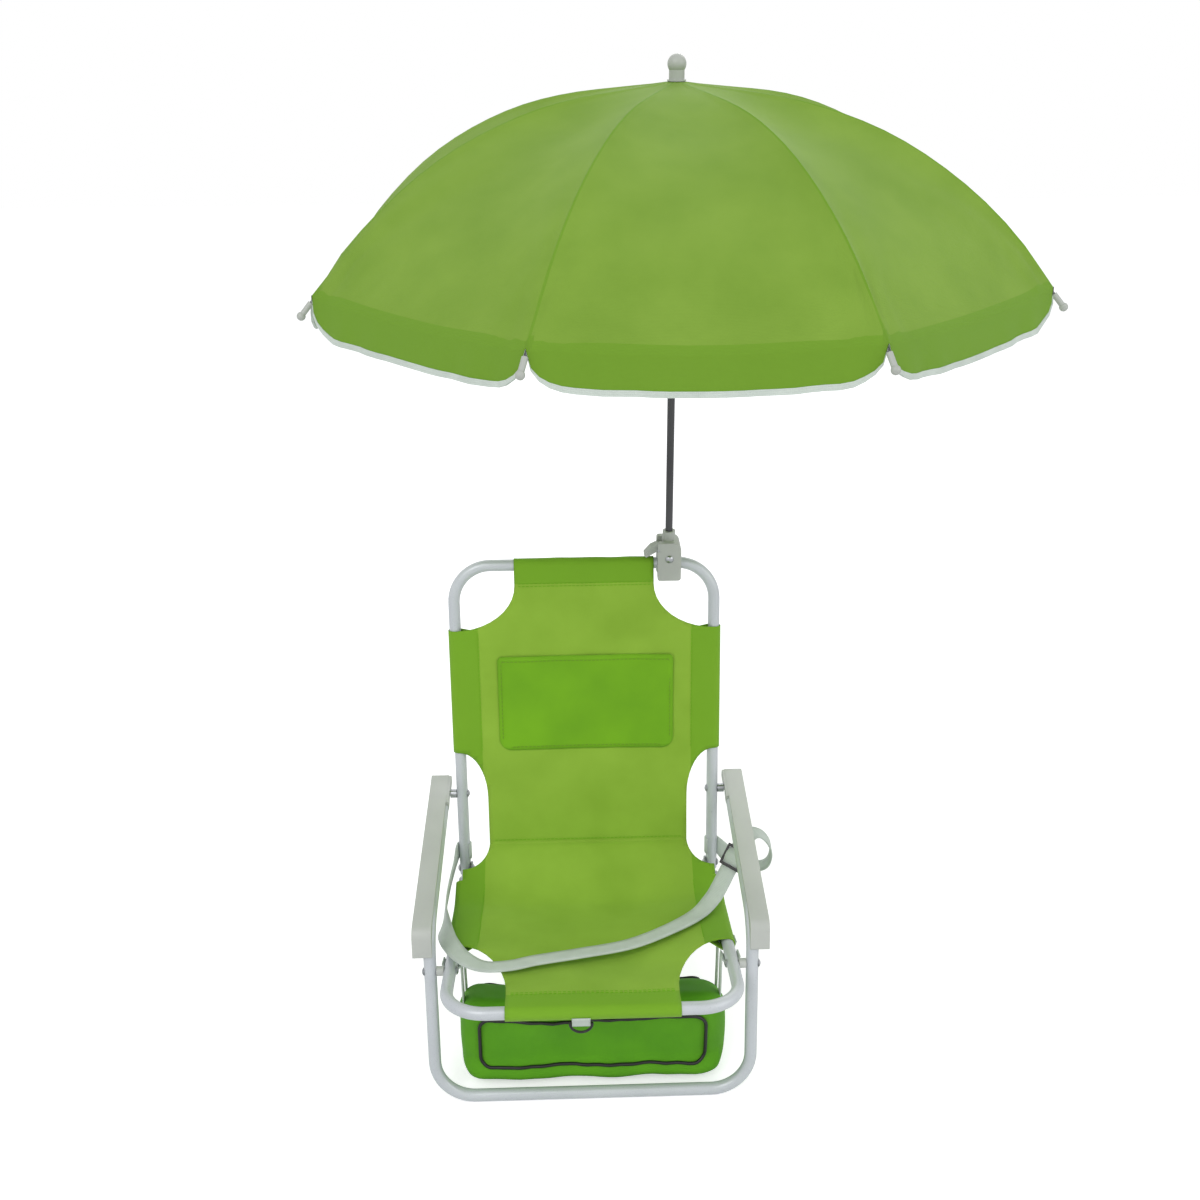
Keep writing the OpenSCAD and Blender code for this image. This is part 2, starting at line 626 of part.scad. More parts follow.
// Shoulder strap: the middle of the webbing, and the direction across it. Its ends go round
// the lower ends of the back tube.
strap_loop_at = 13;
buckle_from = [153, 156, 170];
buckle_to = [171, 172, 199];
buckle_at = (buckle_from + buckle_to) / 2;
buckle_across = [-0.8, 0.6, 0.17];
strap_loop_r = tr + 1.5 * skin_gap + strap_t / 2;
loop_mid = on_back(strap_loop_at + strap_w / 2);
strap_end = [for (a = [-225 : 22.5 : 0]) side(seat_half + strap_loop_r * cos(a),
    loop_mid + strap_loop_r * sin(a) * [-back_dir[1], back_dir[0]])];
strap_route = concat(
    [for (p = strap_end) [[-p[0], p[1], p[2]], side(0, back_dir)]], [
    [[-158, 221, 138], [0.1, 0, 1]], [[-161, 200, 133], [0.1, 0, 1]],
    [[-162, 165, 136], [0.1, 0, 1]], [[-161, 130, 143], [0.2, 0, 1]],
    [[-159, 108, 149], [0.5, 0, 0.9]], [[-156, 86, 154], [0.8, 0.3, 0.5]],
    [[-149, 63, 159], [0.8, 0.7, 0.1]], [[-134, 36, 164], [0.5, 1, -0.1]],
    [[-112, 18, 167], [0.2, 1, -0.2]], [[-84, 18, 167], [0, 1, -0.21]],
    [[-58, 27, 165], [-0.1, 1, -0.21]], [[-13, 39, 162], [-0.1, 1, -0.21]],
    [[39, 54, 159], [-0.2, 1, -0.21]], [[82, 82, 153], [-0.4, 1, -0.21]],
    [[117, 112, 148], [-0.6, 1, -0.1]], [[136, 136, 149], [-0.8, 0.8, 0.1]],
    [[146, 148, 157], [-0.8, 0.7, 0.15]]],
    [for (p = [buckle_from, buckle_at, buckle_to]) [p, buckle_across]], [
    [[181, 183, 200], [-0.7, 0.7, 0.1]], [[191, 190, 199], [-0.5, 0.8, 0.2]],
    [[203, 196, 187], [-0.2, 1, 0.3]], [[211, 200, 168], [0, 1, 0.3]],
    [[209, 205, 146], [0.2, 1, 0.2]], [[197, 212, 134], [0.5, 0.9, 0.2]],
    [[180, 220, 133], [0.5, 0.6, 0.7]], [[167, 227, 138], [0.3, 0.3, 0.9]]],
    [for (i = [len(strap_end) - 1 : -1 : 0]) [strap_end[i], side(0, back_dir)]]);

// A flat band through the route
module band(route, w, t) {
    last = len(route) - 1;
    pts = [for (i = [0 : last]) let (
        c = route[i][0],
        along = unit(route[min(i + 1, last)][0] - route[max(i - 1, 0)][0]),
        raw = route[i][1],
        across = unit(raw - (raw * along) * along),
        up = cross(along, across))
        for (k = [[-1, -1], [1, -1], [1, 1], [-1, 1]]) c + k[0] * w / 2 * across + k[1] * t / 2 * up];
    sides = [for (i = [0 : last - 1], k = [0 : 3]) let (j = (k + 1) % 4, a = 4 * i, b = 4 * i + 4)
        each [[a + k, a + j, b + j], [a + k, b + j, b + k]]];
    first_end = [[3, 2, 1], [3, 1, 0]];
    last_end = [for (t = [[0, 1, 2], [0, 2, 3]]) 4 * last * [1, 1, 1] + t];
    polyhedron(pts, concat(first_end, sides, last_end), convexity = 10);
}

module shoulder_strap() color(webbing) chair() band(strap_route, strap_w, strap_t);

// The buckle lies on the straight stretch of the strap
buckle_size = 25;
buckle_t = 3;
module strap_buckle() color(black_plastic) chair() {
    along = unit(buckle_to - buckle_from);
    across = unit(buckle_across - (buckle_across * along) * along);
    up = cross(along, across);
    axes = [for (i = [0 : 2]) [along[i], across[i], up[i], buckle_at[i]]];
    multmatrix(axes) translate([0, 0, -strap_t / 2 - skin_gap - buckle_t]) difference() {
        union() {
            translate([-buckle_size / 2, -buckle_size / 2, 0]) cube([buckle_size, buckle_size, buckle_t]);
            translate([buckle_size / 2, 0, 0]) cylinder(d = 12, h = buckle_t);
        }
        for (s = [-1, 1]) translate([s * 5.6 - 3.8, 2.5 - buckle_size / 2, -1])
            cube([7.6, buckle_size - 5, buckle_t + 2]);
    }
}

// Clamp on the top bar, in a local frame at the bar under the pole
clamp_half = 13;
clamp_deep = 15;
clamp_low = -16;
clamp_high = 29;
collar_high = 39;
collar_r = 7;
socket_low = 14;
bolt_z = 10.2;
bolt_d = 4;
bolt_head_r = 4.6;
nut_h = 3;
lever_pivot = [-12, 20.5];
lever_half = 7;
lever_pin_d = 3;
cam_r = 3.6;
cam_shift = 0.9;
pad_half = 4.5;
pad_gap = 0.2;
pad_x0 = lever_pivot[0] + cam_shift + cam_r + pad_gap;

module on_clamp() on_pole() translate([0, 0, back_top[1]]) children();

module clamp_body() color(white_plastic) on_clamp() difference() {
    union() {
        translate([0, clamp_deep, 0]) rotate([90, 0, 0]) linear_extrude(2 * clamp_deep) polygon(rounded([
            [-clamp_half, clamp_low, 3], [clamp_half, clamp_low, 3],
            [clamp_half, clamp_high, 9], [-clamp_half, clamp_high, 3]]));
        cylinder(r = collar_r, h = collar_high);
    }
    translate([-2 * clamp_half, 0, 0]) rotate([0, 90, 0]) cylinder(r = sleeve_in, h = 4 * clamp_half);
    translate([-2 * clamp_half, -sleeve_in, clamp_low - 1])
        cube([4 * clamp_half, 2 * sleeve_in, -clamp_low + 1]);
    translate([0, 0, socket_low]) cylinder(d = pole_d + 4 * run_fit, h = collar_high);
    translate([0, 2 * clamp_deep, bolt_z])
        rotate([90, 0, 0]) cylinder(d = bolt_d + 2 * run_fit, h = 4 * clamp_deep);
    // Room for the lever and the pad
    translate([-2 * clamp_half, -lever_half - skin_gap, lever_pivot[1] - 6.8])
        cube([2 * clamp_half + lever_pivot[0] + 4.8, 2 * (lever_half + skin_gap), 20]);
    translate([lever_pivot[0] + 4, -pad_half - skin_gap, lever_pivot[1] - pad_half - skin_gap])
        cube([-lever_pivot[0] - 4, 2 * (pad_half + skin_gap), 2 * (pad_half + skin_gap)]);
    translate([lever_pivot[0], 2 * clamp_deep, lever_pivot[1]])
        rotate([90, 0, 0]) cylinder(d = lever_pin_d + 2 * run_fit, h = 4 * clamp_deep);
}

module clamp_fasteners() color(zinc) on_clamp() {
    translate([0, 0, bolt_z]) rotate([90, 0, 0]) {
        translate([0, 0, -clamp_deep - nut_h]) cylinder(d = bolt_d, h = 2 * clamp_deep + nut_h + face_gap);
        translate([0, 0, clamp_deep + face_gap]) dome(bolt_head_r, 2.6);
        translate([0, 0, -clamp_deep - nut_h]) cylinder(d = 8, h = nut_h - face_gap, $fn = 6);
    }
    translate([lever_pivot[0], clamp_deep - 0.5, lever_pivot[1]])
        rotate([90, 0, 0]) cylinder(d = lever_pin_d, h = 2 * clamp_deep - 1);
}

module lock_lever() color(white_plastic) on_clamp() translate([lever_pivot[0], lever_half, lever_pivot[1]])
    rotate([90, 0, 0]) difference() {
        union() {
            translate([cam_shift, 0, 0]) cylinder(r = cam_r, h = 2 * lever_half);
            linear_extrude(2 * lever_half)
                polygon([[1.5, 3], [3.2, -1.5], [-13.5, -11.2], [-15.8, -8.4], [-8.5, 0], [-3, 2.8]]);
        }
        translate([0, 0, -1]) cylinder(d = lever_pin_d + 2 * run_fit, h = 2 * lever_half + 2);
    }

module lock_pad() color(black_plastic) on_clamp()
    translate([pad_x0, -pad_half, lever_pivot[1] - pad_half])
        cube([-pole_d / 2 - face_gap - pad_x0, 2 * pad_half, 2 * pad_half]);

// Parasol. Heights are above the ground, and distances are from the pole.
finial_r = 9;
neck_h = 9;
crown_h = 14;
slot_half = 1.5;
crown_top = total_height - 2 * finial_r - neck_h + 1;
finial_low = crown_top + canopy_t + 3 * skin_gap;
ball_z = total_height - finial_r;
crown_low = crown_top - crown_h;
rib_hinge = [9, crown_top - 2.6];
crown_r = rib_hinge[0] + 2.6;
pole_low = back_top[1] + socket_low + face_gap;
pole_top = crown_top + canopy_t;
rib_in = rib_hinge + [4, -0.4];
bend_start = rib_in + rib_straight * [cos(rib_slope), -sin(rib_slope)];
bend_corner = bend_start + rib_r * tan(rib_bend / 2) * [cos(rib_slope), -sin(rib_slope)];
out_slope = rib_slope + rib_bend;
out_dir = [cos(out_slope), -sin(out_slope)];
bend_stop = bend_corner + rib_r * tan(rib_bend / 2) * out_dir;
rib_tip = bend_stop + out_dir * (canopy_r - bend_stop[0]) / out_dir[0];
rib_arc_centre = bend_start - rib_r * [sin(rib_slope), cos(rib_slope)];
rib_turn = [for (k = [1 : 8]) -22.5 - 45 * (k - 1)];
tip_ball_d = 8;
tip_ball_at = 6;
parasol_reach = (canopy_r + tip_ball_at * out_dir[0]) * cos(22.5) + tip_ball_d / 2;
chair_front = seat_bar[0] - tab_in - tab_t;
origin_back = (back_top[0] + parasol_reach + chair_front) / 2;

// A place on the rib at distance r from the pole
function rib_z(r) =
    r < bend_start[0] ? rib_in[1] - (r - rib_in[0]) * tan(rib_slope) :
    r < bend_stop[0] ? rib_arc_centre[1] + sqrt(pow(rib_r, 2) - pow(r - rib_arc_centre[0], 2)) :
    bend_stop[1] - (r - bend_stop[0]) * tan(out_slope);

joint_r = rib_hinge[0] + stretcher_at * cos(11);
joint_drop = 2.4;
joint = [joint_r, rib_z(joint_r) - rib_d / 2 - joint_drop];
runner_hinge = [10, rib_hinge[1] - runner_drop];

module at_rib(k) on_pole() rotate([0, 0, rib_turn[k - 1]]) children();
module wire(a, b, d) bar([a[0], 0, a[1]], [b[0], 0, b[1]], d);
module eye(p, d, w) translate([p[0], w / 2, p[1]]) rotate([90, 0, 0]) cylinder(d = d, h = w);

module pole() color(wire_grey) on_pole() difference() {
    translate([0, 0, pole_low]) cylinder(d = pole_d, h = pole_top - pole_low);
    translate([0, 0, pole_low - 1]) cylinder(d = pole_d - 2 * pole_wall, h = pole_top - pole_low + 2);
}

// The crown is a slotted hub with a pin across each slot
module crown() color(white_plastic) on_pole() difference() {
    translate([0, 0, crown_low]) cylinder(r = crown_r, h = crown_h);
    translate([0, 0, crown_low - 1]) cylinder(d = pole_d + 2 * run_fit, h = crown_h + 2);
    for (k = [1 : 8]) rotate([0, 0, rib_turn[k - 1]])
        translate([5.4, -slot_half, crown_low - 1]) cube([10, 2 * slot_half, crown_h + 2]);
}

module finial() color(white_plastic) on_pole() {
    translate([0, 0, finial_low]) cylinder(r = 9, h = 1.4);
    translate([0, 0, finial_low + 1]) cylinder(r = 7.4, h = ball_z - finial_low - 1);
    translate([0, 0, ball_z]) sphere(r = finial_r);
}

// The rib's line: straight, then an arc, then straight again
module rib_rod() translate([rib_in[0], 0, rib_in[1]]) rotate([0, rib_slope, 0]) {
    rotate([0, 90, 0]) cylinder(d = rib_d, h = rib_straight + bend_lap);
    translate([rib_straight, 0, -rib_r]) {
        rotate([90, 0, 0]) corner(0, 0, rib_r, 90 - rib_bend, rib_d + bend_swell, rib_bend);
        rotate([0, rib_bend, 0]) translate([-bend_lap, 0, rib_r])
            rotate([0, 90, 0]) cylinder(d = rib_d, h = norm(rib_tip - bend_stop) + bend_lap);
    }
}

module rib(k) color(wire_grey) at_rib(k) {
    wire(rib_hinge, rib_in, 2);
    rib_rod();
    translate([rib_in[0], 0, rib_in[1]]) sphere(d = rib_d);
    difference() {
        union() {
            eye(rib_hinge, 3.4, 2.4);
            translate([joint[0] - 2.6, -2.6, joint[1]]) cube([5.2, 5.2, joint_drop + rib_d / 2]);
            eye(joint, 5.2, 5.2);
        }
        translate([joint[0] - 5, -slot_half, joint[1] - 5]) cube([10, 2 * slot_half, 5 + 2]);
    }
}

// The stretcher runs from the bracket under the rib to the runner
module stretcher(k) color(wire_grey) at_rib(k) {
    wire(joint + 2.2 * unit(runner_hinge - joint), runner_hinge + 1.5 * unit(joint - runner_hinge), 2.2);
    eye(joint - [0, 0.6], 3.2, 2.4);
    wire(joint - [0, 0.6], joint + 2.4 * unit(runner_hinge - joint), 2);
    eye(runner_hinge, 3.2, 2.4);
    wire(runner_hinge, runner_hinge + 2 * unit(joint - runner_hinge), 2);
}

// The tip holds the rib's end and the corner of the canopy
module rib_tip(k) color(white_plastic) at_rib(k) {
    translate([rib_tip[0], 0, rib_tip[1]]) rotate([0, 90 + out_slope, 0]) {
        difference() {
            translate([0, 0, -9]) cylinder(d = 5.4, h = 12);
            translate([0, 0, -10]) cylinder(d = rib_d + 2 * run_fit, h = 10 + 2 * run_fit);
        }
        translate([0, 0, tip_ball_at]) sphere(d = tip_ball_d);
    }
}

module runner() color(white_plastic) on_pole() difference() {
    union() {
        translate([0, 0, runner_hinge[1] - 5]) cylinder(r = runner_hinge[0] + 2.6, h = 9);
        translate([0, 0, runner_hinge[1] - 32]) cylinder(r = 7, h = 30);
        translate([0, 0, runner_hinge[1] - 33]) cylinder(r = 9, h = 4);
    }
    translate([0, 0, runner_hinge[1] - 40]) cylinder(d = pole_d + 4 * run_fit, h = 60);
    for (k = [1 : 8]) rotate([0, 0, rib_turn[k - 1]])
        translate([7.3, -slot_half, runner_hinge[1] - 6]) cube([10, 2 * slot_half, 12]);
}

// Canopy: eight panels stretched between the ribs, each with a hem that hangs past its edge
panel_cols = 5;
dome_rows = 12;
canopy_in = 4.6;
canopy_lift = rib_d / 2 + 0.7;
canopy_edge = canopy_r - 8;

function dome_point(k, w, r) = let (
    c = cos(22.5), a = rib_turn[k], b = rib_turn[k] - 45,
    p = r * ((1 - w) * [cos(a), sin(a)] + w * [cos(b), sin(b)]))
    [p[0], p[1], max(rib_z(r) + canopy_lift / cos(slope_at(r)), r < crown_r + 2 ? crown_top + skin_gap : 0)];
function slope_at(r) =
    r < bend_start[0] ? rib_slope :
    r < bend_stop[0] ? asin((r - rib_arc_centre[0]) / rib_r) :
    out_slope;
function hem(w) = hem_drop * (1 - pow(abs(2 * w - 1), 5));
function row_r(i) =
  i == 0 ? canopy_in : crown_r + 1 + (canopy_edge - crown_r - 1) * pow((i - 1) / (dome_rows - 1), 0.8);

canopy_under = [for (k = [0 : 7], j = [0 : panel_cols - 1]) let (w = j / panel_cols) concat(
    [for (i = [0 : dome_rows]) dome_point(k, w, row_r(i))],
    [for (f = [0.5, 1]) let (e = dome_point(k, w, row_r(dome_rows)), d = unit([e[0], e[1]]))
        e + f * hem(w) * [0.22 * d[0], 0.22 * d[1], -1]])];

canopy_lines = len(canopy_under);
canopy_rows = len(canopy_under[0]);
canopy_focus = [0, 0, rib_tip[1] - 160];

// Number of the point on line c, row r: layer 0 is the upper side and 1 the under side
function canopy_id(c, r, layer) = ((c % canopy_lines) + layer * canopy_lines) * canopy_rows + r;
function canopy_quad(a, b, c, d) = [[a, b, c], [a, c, d]];

module canopy() color(green_cloth) on_pole() {
    upper = [for (c = canopy_under, p = c) p + canopy_t * unit(p - canopy_focus)];
    under = [for (c = canopy_under, p = c) p];
    end = canopy_rows - 1;
    faces = [for (c = [0 : canopy_lines - 1]) each concat(
        [for (r = [0 : end - 1]) each canopy_quad(
            canopy_id(c, r, 0), canopy_id(c, r + 1, 0), canopy_id(c + 1, r + 1, 0), canopy_id(c + 1, r, 0))],
        [for (r = [0 : end - 1]) each canopy_quad(
            canopy_id(c + 1, r, 1), canopy_id(c + 1, r + 1, 1), canopy_id(c, r + 1, 1), canopy_id(c, r, 1))],
        canopy_quad(
            canopy_id(c, 0, 1), canopy_id(c, 0, 0), canopy_id(c + 1, 0, 0), canopy_id(c + 1, 0, 1)),
        canopy_quad(
            canopy_id(c, end, 0), canopy_id(c, end, 1), canopy_id(c + 1, end, 1), canopy_id(c + 1, end, 0)))];
    polyhedron(concat(upper, under), faces, convexity = 12);
}

front_tube();
armrest_left();
armrest_right();
armrest_screws();
seat_tube();
seat_end_caps();
hinge_plates();
hinge_rivets();
leg_brackets();
seat_rivets();
leg_rivets();
frame_spacers();
sling_seat();
sling_crease();
ring_tab();
d_ring();
storage_bag();
shoulder_strap();
strap_buckle();
rear_tube();
rear_end_caps();
back_tube();
back_end_caps();
arm_pins();
sling_back();
back_pocket();
clamp_body();
clamp_fasteners();
lock_lever();
lock_pad();
pole();
crown();
finial();
canopy();
runner();
for (k = [1 : 8]) rib(k);
for (k = [1 : 8]) stretcher(k);
for (k = [1 : 8]) rib_tip(k);
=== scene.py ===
"""A child's folding beach chair with a parasol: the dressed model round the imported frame."""

from __future__ import annotations

import json
import logging
import math
from bisect import bisect_right
from dataclasses import dataclass, field
from enum import Enum
from typing import Callable, Sequence

import bmesh
import bpy
from mathutils import Matrix, Vector, noise


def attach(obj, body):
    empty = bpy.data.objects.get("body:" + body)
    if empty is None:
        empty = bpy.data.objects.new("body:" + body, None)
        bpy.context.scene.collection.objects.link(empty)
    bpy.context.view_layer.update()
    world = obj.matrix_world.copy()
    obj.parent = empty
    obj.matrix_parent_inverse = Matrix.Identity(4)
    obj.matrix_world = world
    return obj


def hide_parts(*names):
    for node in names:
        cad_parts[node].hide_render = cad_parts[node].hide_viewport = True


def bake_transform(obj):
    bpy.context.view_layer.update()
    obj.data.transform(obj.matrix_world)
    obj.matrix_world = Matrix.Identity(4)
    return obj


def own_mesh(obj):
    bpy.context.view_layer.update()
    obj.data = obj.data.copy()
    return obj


log = logging.getLogger("beach_chair")

Pair = tuple[float, float]
Colour = tuple[float, float, float]
Socket = bpy.types.NodeSocket
Material = bpy.types.Material
Piece = bpy.types.Object
MM = 0.001
POLE_SIDE = 95.0
ORIGIN_BACK = 298.384
HALF_SECTOR = math.radians(22.5)


class Slot(Enum):
    """The record's material slots."""

    FRAME = "frame_paint"
    STEEL = "zinc_steel"
    ARM = "arm_plastic"
    WHITE = "white_plastic"
    BLACK = "black_plastic"
    SLING = "sling_cloth"
    PATCH = "pocket_cloth"
    BAG = "bag_cloth"
    WEBBING = "webbing"
    CANOPY = "canopy_cloth"
    WIRE = "wire_paint"


Paint = dict[Slot, Material]


def at(x: float, y: float, z: float) -> Vector:
    """Turns a place in the chair's own millimetres into the shared frame."""
    return Vector((x - POLE_SIDE, y - ORIGIN_BACK, z)) * MM


def smooth_step(t: float) -> float:
    """Eases from 0 to 1."""
    t = min(max(t, 0.0), 1.0)
    return t * t * (3.0 - 2.0 * t)


def to_linear(colour: Colour) -> tuple[float, float, float, float]:
    """Turns a screen colour from 0 to 1 into the linear colour of a shader."""
    return (*[c / 12.92 if c <= 0.04045 else ((c + 0.055) / 1.055) ** 2.4 for c in colour], 1.0)


# Sizes of the chair


@dataclass(frozen=True)
class Chair:
    """The side view of the chair, in millimetres, as (y, z) pairs of its own frame."""

    seat_half: float = 146.5
    sheet_r: float = 7.4
    seat_pivot: Vector = field(default_factory=lambda: Vector((29.488, 152.0)))
    hinge: Vector = field(default_factory=lambda: Vector((234.417, 125.310)))
    seat_slope: float = math.radians(12.0)
    recline: float = math.radians(11.2)
    seat_front: float = 82.0
    back_len: float = 368.0

    @property
    def seat_dir(self) -> Vector:
        """The way from the front of the seat to its rear."""
        return Vector((math.cos(self.seat_slope), -math.sin(self.seat_slope)))

    @property
    def seat_up(self) -> Vector:
        """The way out of the seat."""
        return Vector((math.sin(self.seat_slope), math.cos(self.seat_slope)))

    @property
    def back_dir(self) -> Vector:
        """The way up the back."""
        return Vector((math.sin(self.recline), math.cos(self.recline)))

    @property
    def back_out(self) -> Vector:
        """The way out of the front of the back."""
        return Vector((-math.cos(self.recline), math.sin(self.recline)))

    def on_seat(self, s: float, n: float = 0.0) -> Vector:
        """A place s behind the seat's pivot and n above the seat tubes' middle."""
        return self.seat_pivot + s * self.seat_dir + n * self.seat_up

    def on_back(self, s: float, n: float = 0.0) -> Vector:
        """A place s up the back from its hinge and n in front of the tubes' middle."""
        return self.hinge + s * self.back_dir + n * self.back_out


CHAIR = Chair()


# Finishes


class Shader:
    """A material under construction, with short ways to add its nodes."""

    def __init__(self, name: str) -> None:
        """Starts a material with one Principled shader.

        Args:
            name: Name of the material.
        """
        self.material = bpy.data.materials.new(name)
        self.material.use_nodes = True
        self.tree = self.material.node_tree
        self.shader = self.tree.nodes["Principled BSDF"]

    def node(self, kind: str, settings: dict | None = None, **inputs: object) -> bpy.types.Node:
        """Adds a node.

        Args:
            kind: Blender's name for the type of node.
            settings: Properties to set on the node.
            **inputs: Value or output socket for each input, by its number as i0, i1 and so on.

        Returns:
            The new node.
        """
        new = self.tree.nodes.new(kind)
        for key, value in (settings or {}).items():
            setattr(new, key, value)
        for key, value in inputs.items():
            self.put(new.inputs[int(key[1:])], value)
        return new

    def put(self, socket: Socket, value: object) -> None:
        """Sets a socket to a value or links an output to it.

        Args:
            socket: The socket.
            value: The value or output.
        """
        if isinstance(value, Socket):
            self.tree.links.new(value, socket)
        else:
            socket.default_value = value

    def set(self, **values: object) -> None:
        """Sets the shader's inputs, named as in Blender with _ for a space."""
        for key, value in values.items():
            self.put(self.shader.inputs[key.replace("_", " ")], value)

    def place(self, own_map: bool = False) -> Socket:
        """The object's coordinates, or the piece's own map."""
        return self.node("ShaderNodeTexCoord").outputs["UV" if own_map else "Object"]

    def cloud(self, where: Socket, scale: float, detail: float = 3.0) -> Socket:
        """A soft noise.

        Args:
            where: The coordinates that it is laid on.
            scale: Its scale.
            detail: How many finer layers it has.

        Returns:
            Its value.
        """
        made = self.node("ShaderNodeTexNoise", i0=where)
        made.inputs["Scale"].default_value = scale
        made.inputs["Detail"].default_value = detail
        return made.outputs[0]

    def math(self, kind: str, a: object, b: object = 0.0) -> Socket:
        """One sum on two values."""
        return self.node("ShaderNodeMath", {"operation": kind}, i0=a, i1=b).outputs[0]

    def mixed(self, share: object, a: Colour | Socket, b: Colour) -> Socket:
        """Mixes a screen colour, or a colour output, with a screen colour.

        Args:
            share: Share of the second colour, a value or an output.
            a: The first colour.
            b: The second colour.

        Returns:
            The mixed colour.
        """
        made = self.node("ShaderNodeMix", {"data_type": "RGBA"}, i0=share, i7=to_linear(b))
        self.put(made.inputs[6], a if isinstance(a, Socket) else to_linear(a))
        return made.outputs[2]

    def range(self, value: Socket, low: float, high: float) -> Socket:
        """Spreads a value from 0.3..0.7 to low..high."""
        return self.node("ShaderNodeMapRange", i0=value, i1=0.3, i2=0.7, i3=low, i4=high).outputs[0]

    def bump(self, height: Socket, strength: float, depth: float) -> None:
        """Turns a height into a bump on the shader.

        Args:
            height: The height's output.
            strength: Share of the bump that is shown.
            depth: Depth of the bump in metres.
        """
        made = self.node("ShaderNodeBump")
        made.inputs["Strength"].default_value = strength
        made.inputs["Distance"].default_value = depth
        self.put(made.inputs["Height"], height)
        self.set(Normal=made.outputs[0])


@dataclass(frozen=True)
class HardFinish:
    """A finish of a hard piece: paint, plated steel or moulded plastic."""

    colour: Colour
    worn: Colour
    roughness: float
    metallic: float = 0.0
    coat: float = 0.0
    grain: float = 900.0
    grain_depth: float = 0.00006
    patch: float = 14.0

    def make(self, name: str) -> Material:
        """Makes the material.

        Args:
            name: Its name.

        Returns:
            The material.
        """
        s = Shader(name)
        where = s.place()
        soft = s.cloud(where, self.patch, 4.0)
        fine = s.cloud(where, self.grain, 2.0)
        s.set(
            Base_Color=s.mixed(s.range(soft, 0.0, 1.0), self.colour, self.worn),
            Roughness=s.range(fine, self.roughness - 0.06, self.roughness + 0.08),
            Metallic=self.metallic,
            Coat_Weight=self.coat,
            Coat_Roughness=0.25,
        )
        s.bump(fine, 0.5, self.grain_depth)
        return s.material


@dataclass(frozen=True)
class ClothFinish:
    """Woven cloth on the piece's own map, which is in metres along its threads.

    Beyond the bounds (half width, low, high) the cloth takes a darker colour: on the sling it is two layers
    there; on the canopy it is the valance below the edge, painted darker as painted shade.
    """

    light: Colour
    dark: Colour
    thread: float = 0.0011
    depth: float = 0.00025
    sheen: float = 0.08
    # Colour where the sling is two layers; on the canopy it is also the painted shade of the valance and
    # the colour of the seam line along each rib.
    two_layers_and_shade: Colour | None = None
    bounds: tuple[float, float, float] = (9.0, -9.0, 9.0)
    creases: float = 18.0
    seam: float = 0.0

    def make(self, name: str) -> Material:
        """Makes the material.

        Args:
            name: Its name.

        Returns:
            The material.
        """
        s = Shader(name)
        where = s.place(own_map=True)
        body = s.place()
        scale = math.pi / (10.0 * self.thread)
        waves = []
        for axis in ("X", "Y"):
            wave = s.node("ShaderNodeTexWave", {"wave_type": "BANDS", "bands_direction": axis}, i0=where)
            wave.inputs["Scale"].default_value = scale
            wave.inputs["Distortion"].default_value = 0.6
            wave.inputs["Detail"].default_value = 1.0
            waves.append(wave.outputs[1])
        weave = s.math("MULTIPLY", waves[0], waves[1])
        cloud = s.cloud(body, self.creases, 5.0)
        colour = s.mixed(s.range(cloud, 0.0, 0.55), self.light, self.dark)
        if self.two_layers_and_shade is not None:
            parts = s.node("ShaderNodeSeparateXYZ", i0=where)
            across = s.math("GREATER_THAN", s.math("ABSOLUTE", parts.outputs[0]), self.bounds[0])
            low = s.math("LESS_THAN", parts.outputs[1], self.bounds[1])
            high = s.math("GREATER_THAN", parts.outputs[1], self.bounds[2])
            # On the sling this mask is the two-layer cloth; on the canopy it is the valance below the edge,
            # painted darker as painted shade.
            two_layer_and_shade_mask = s.math("MAXIMUM", across, s.math("MAXIMUM", low, high))
            colour = s.mixed(s.math("MULTIPLY", two_layer_and_shade_mask, 0.85), colour, self.two_layers_and_shade)
            if self.seam:
                line = s.math("LESS_THAN", s.math("ABSOLUTE", parts.outputs[0]), self.seam)
                colour = s.mixed(s.math("MULTIPLY", line, 0.8), colour, self.two_layers_and_shade)
        colour = s.mixed(s.math("MULTIPLY", weave, 0.18), colour, self.dark)
        s.set(Base_Color=colour, Roughness=0.82, Sheen_Weight=self.sheen, Sheen_Roughness=0.4)
        s.bump(weave, 0.55, self.depth)
        return s.material


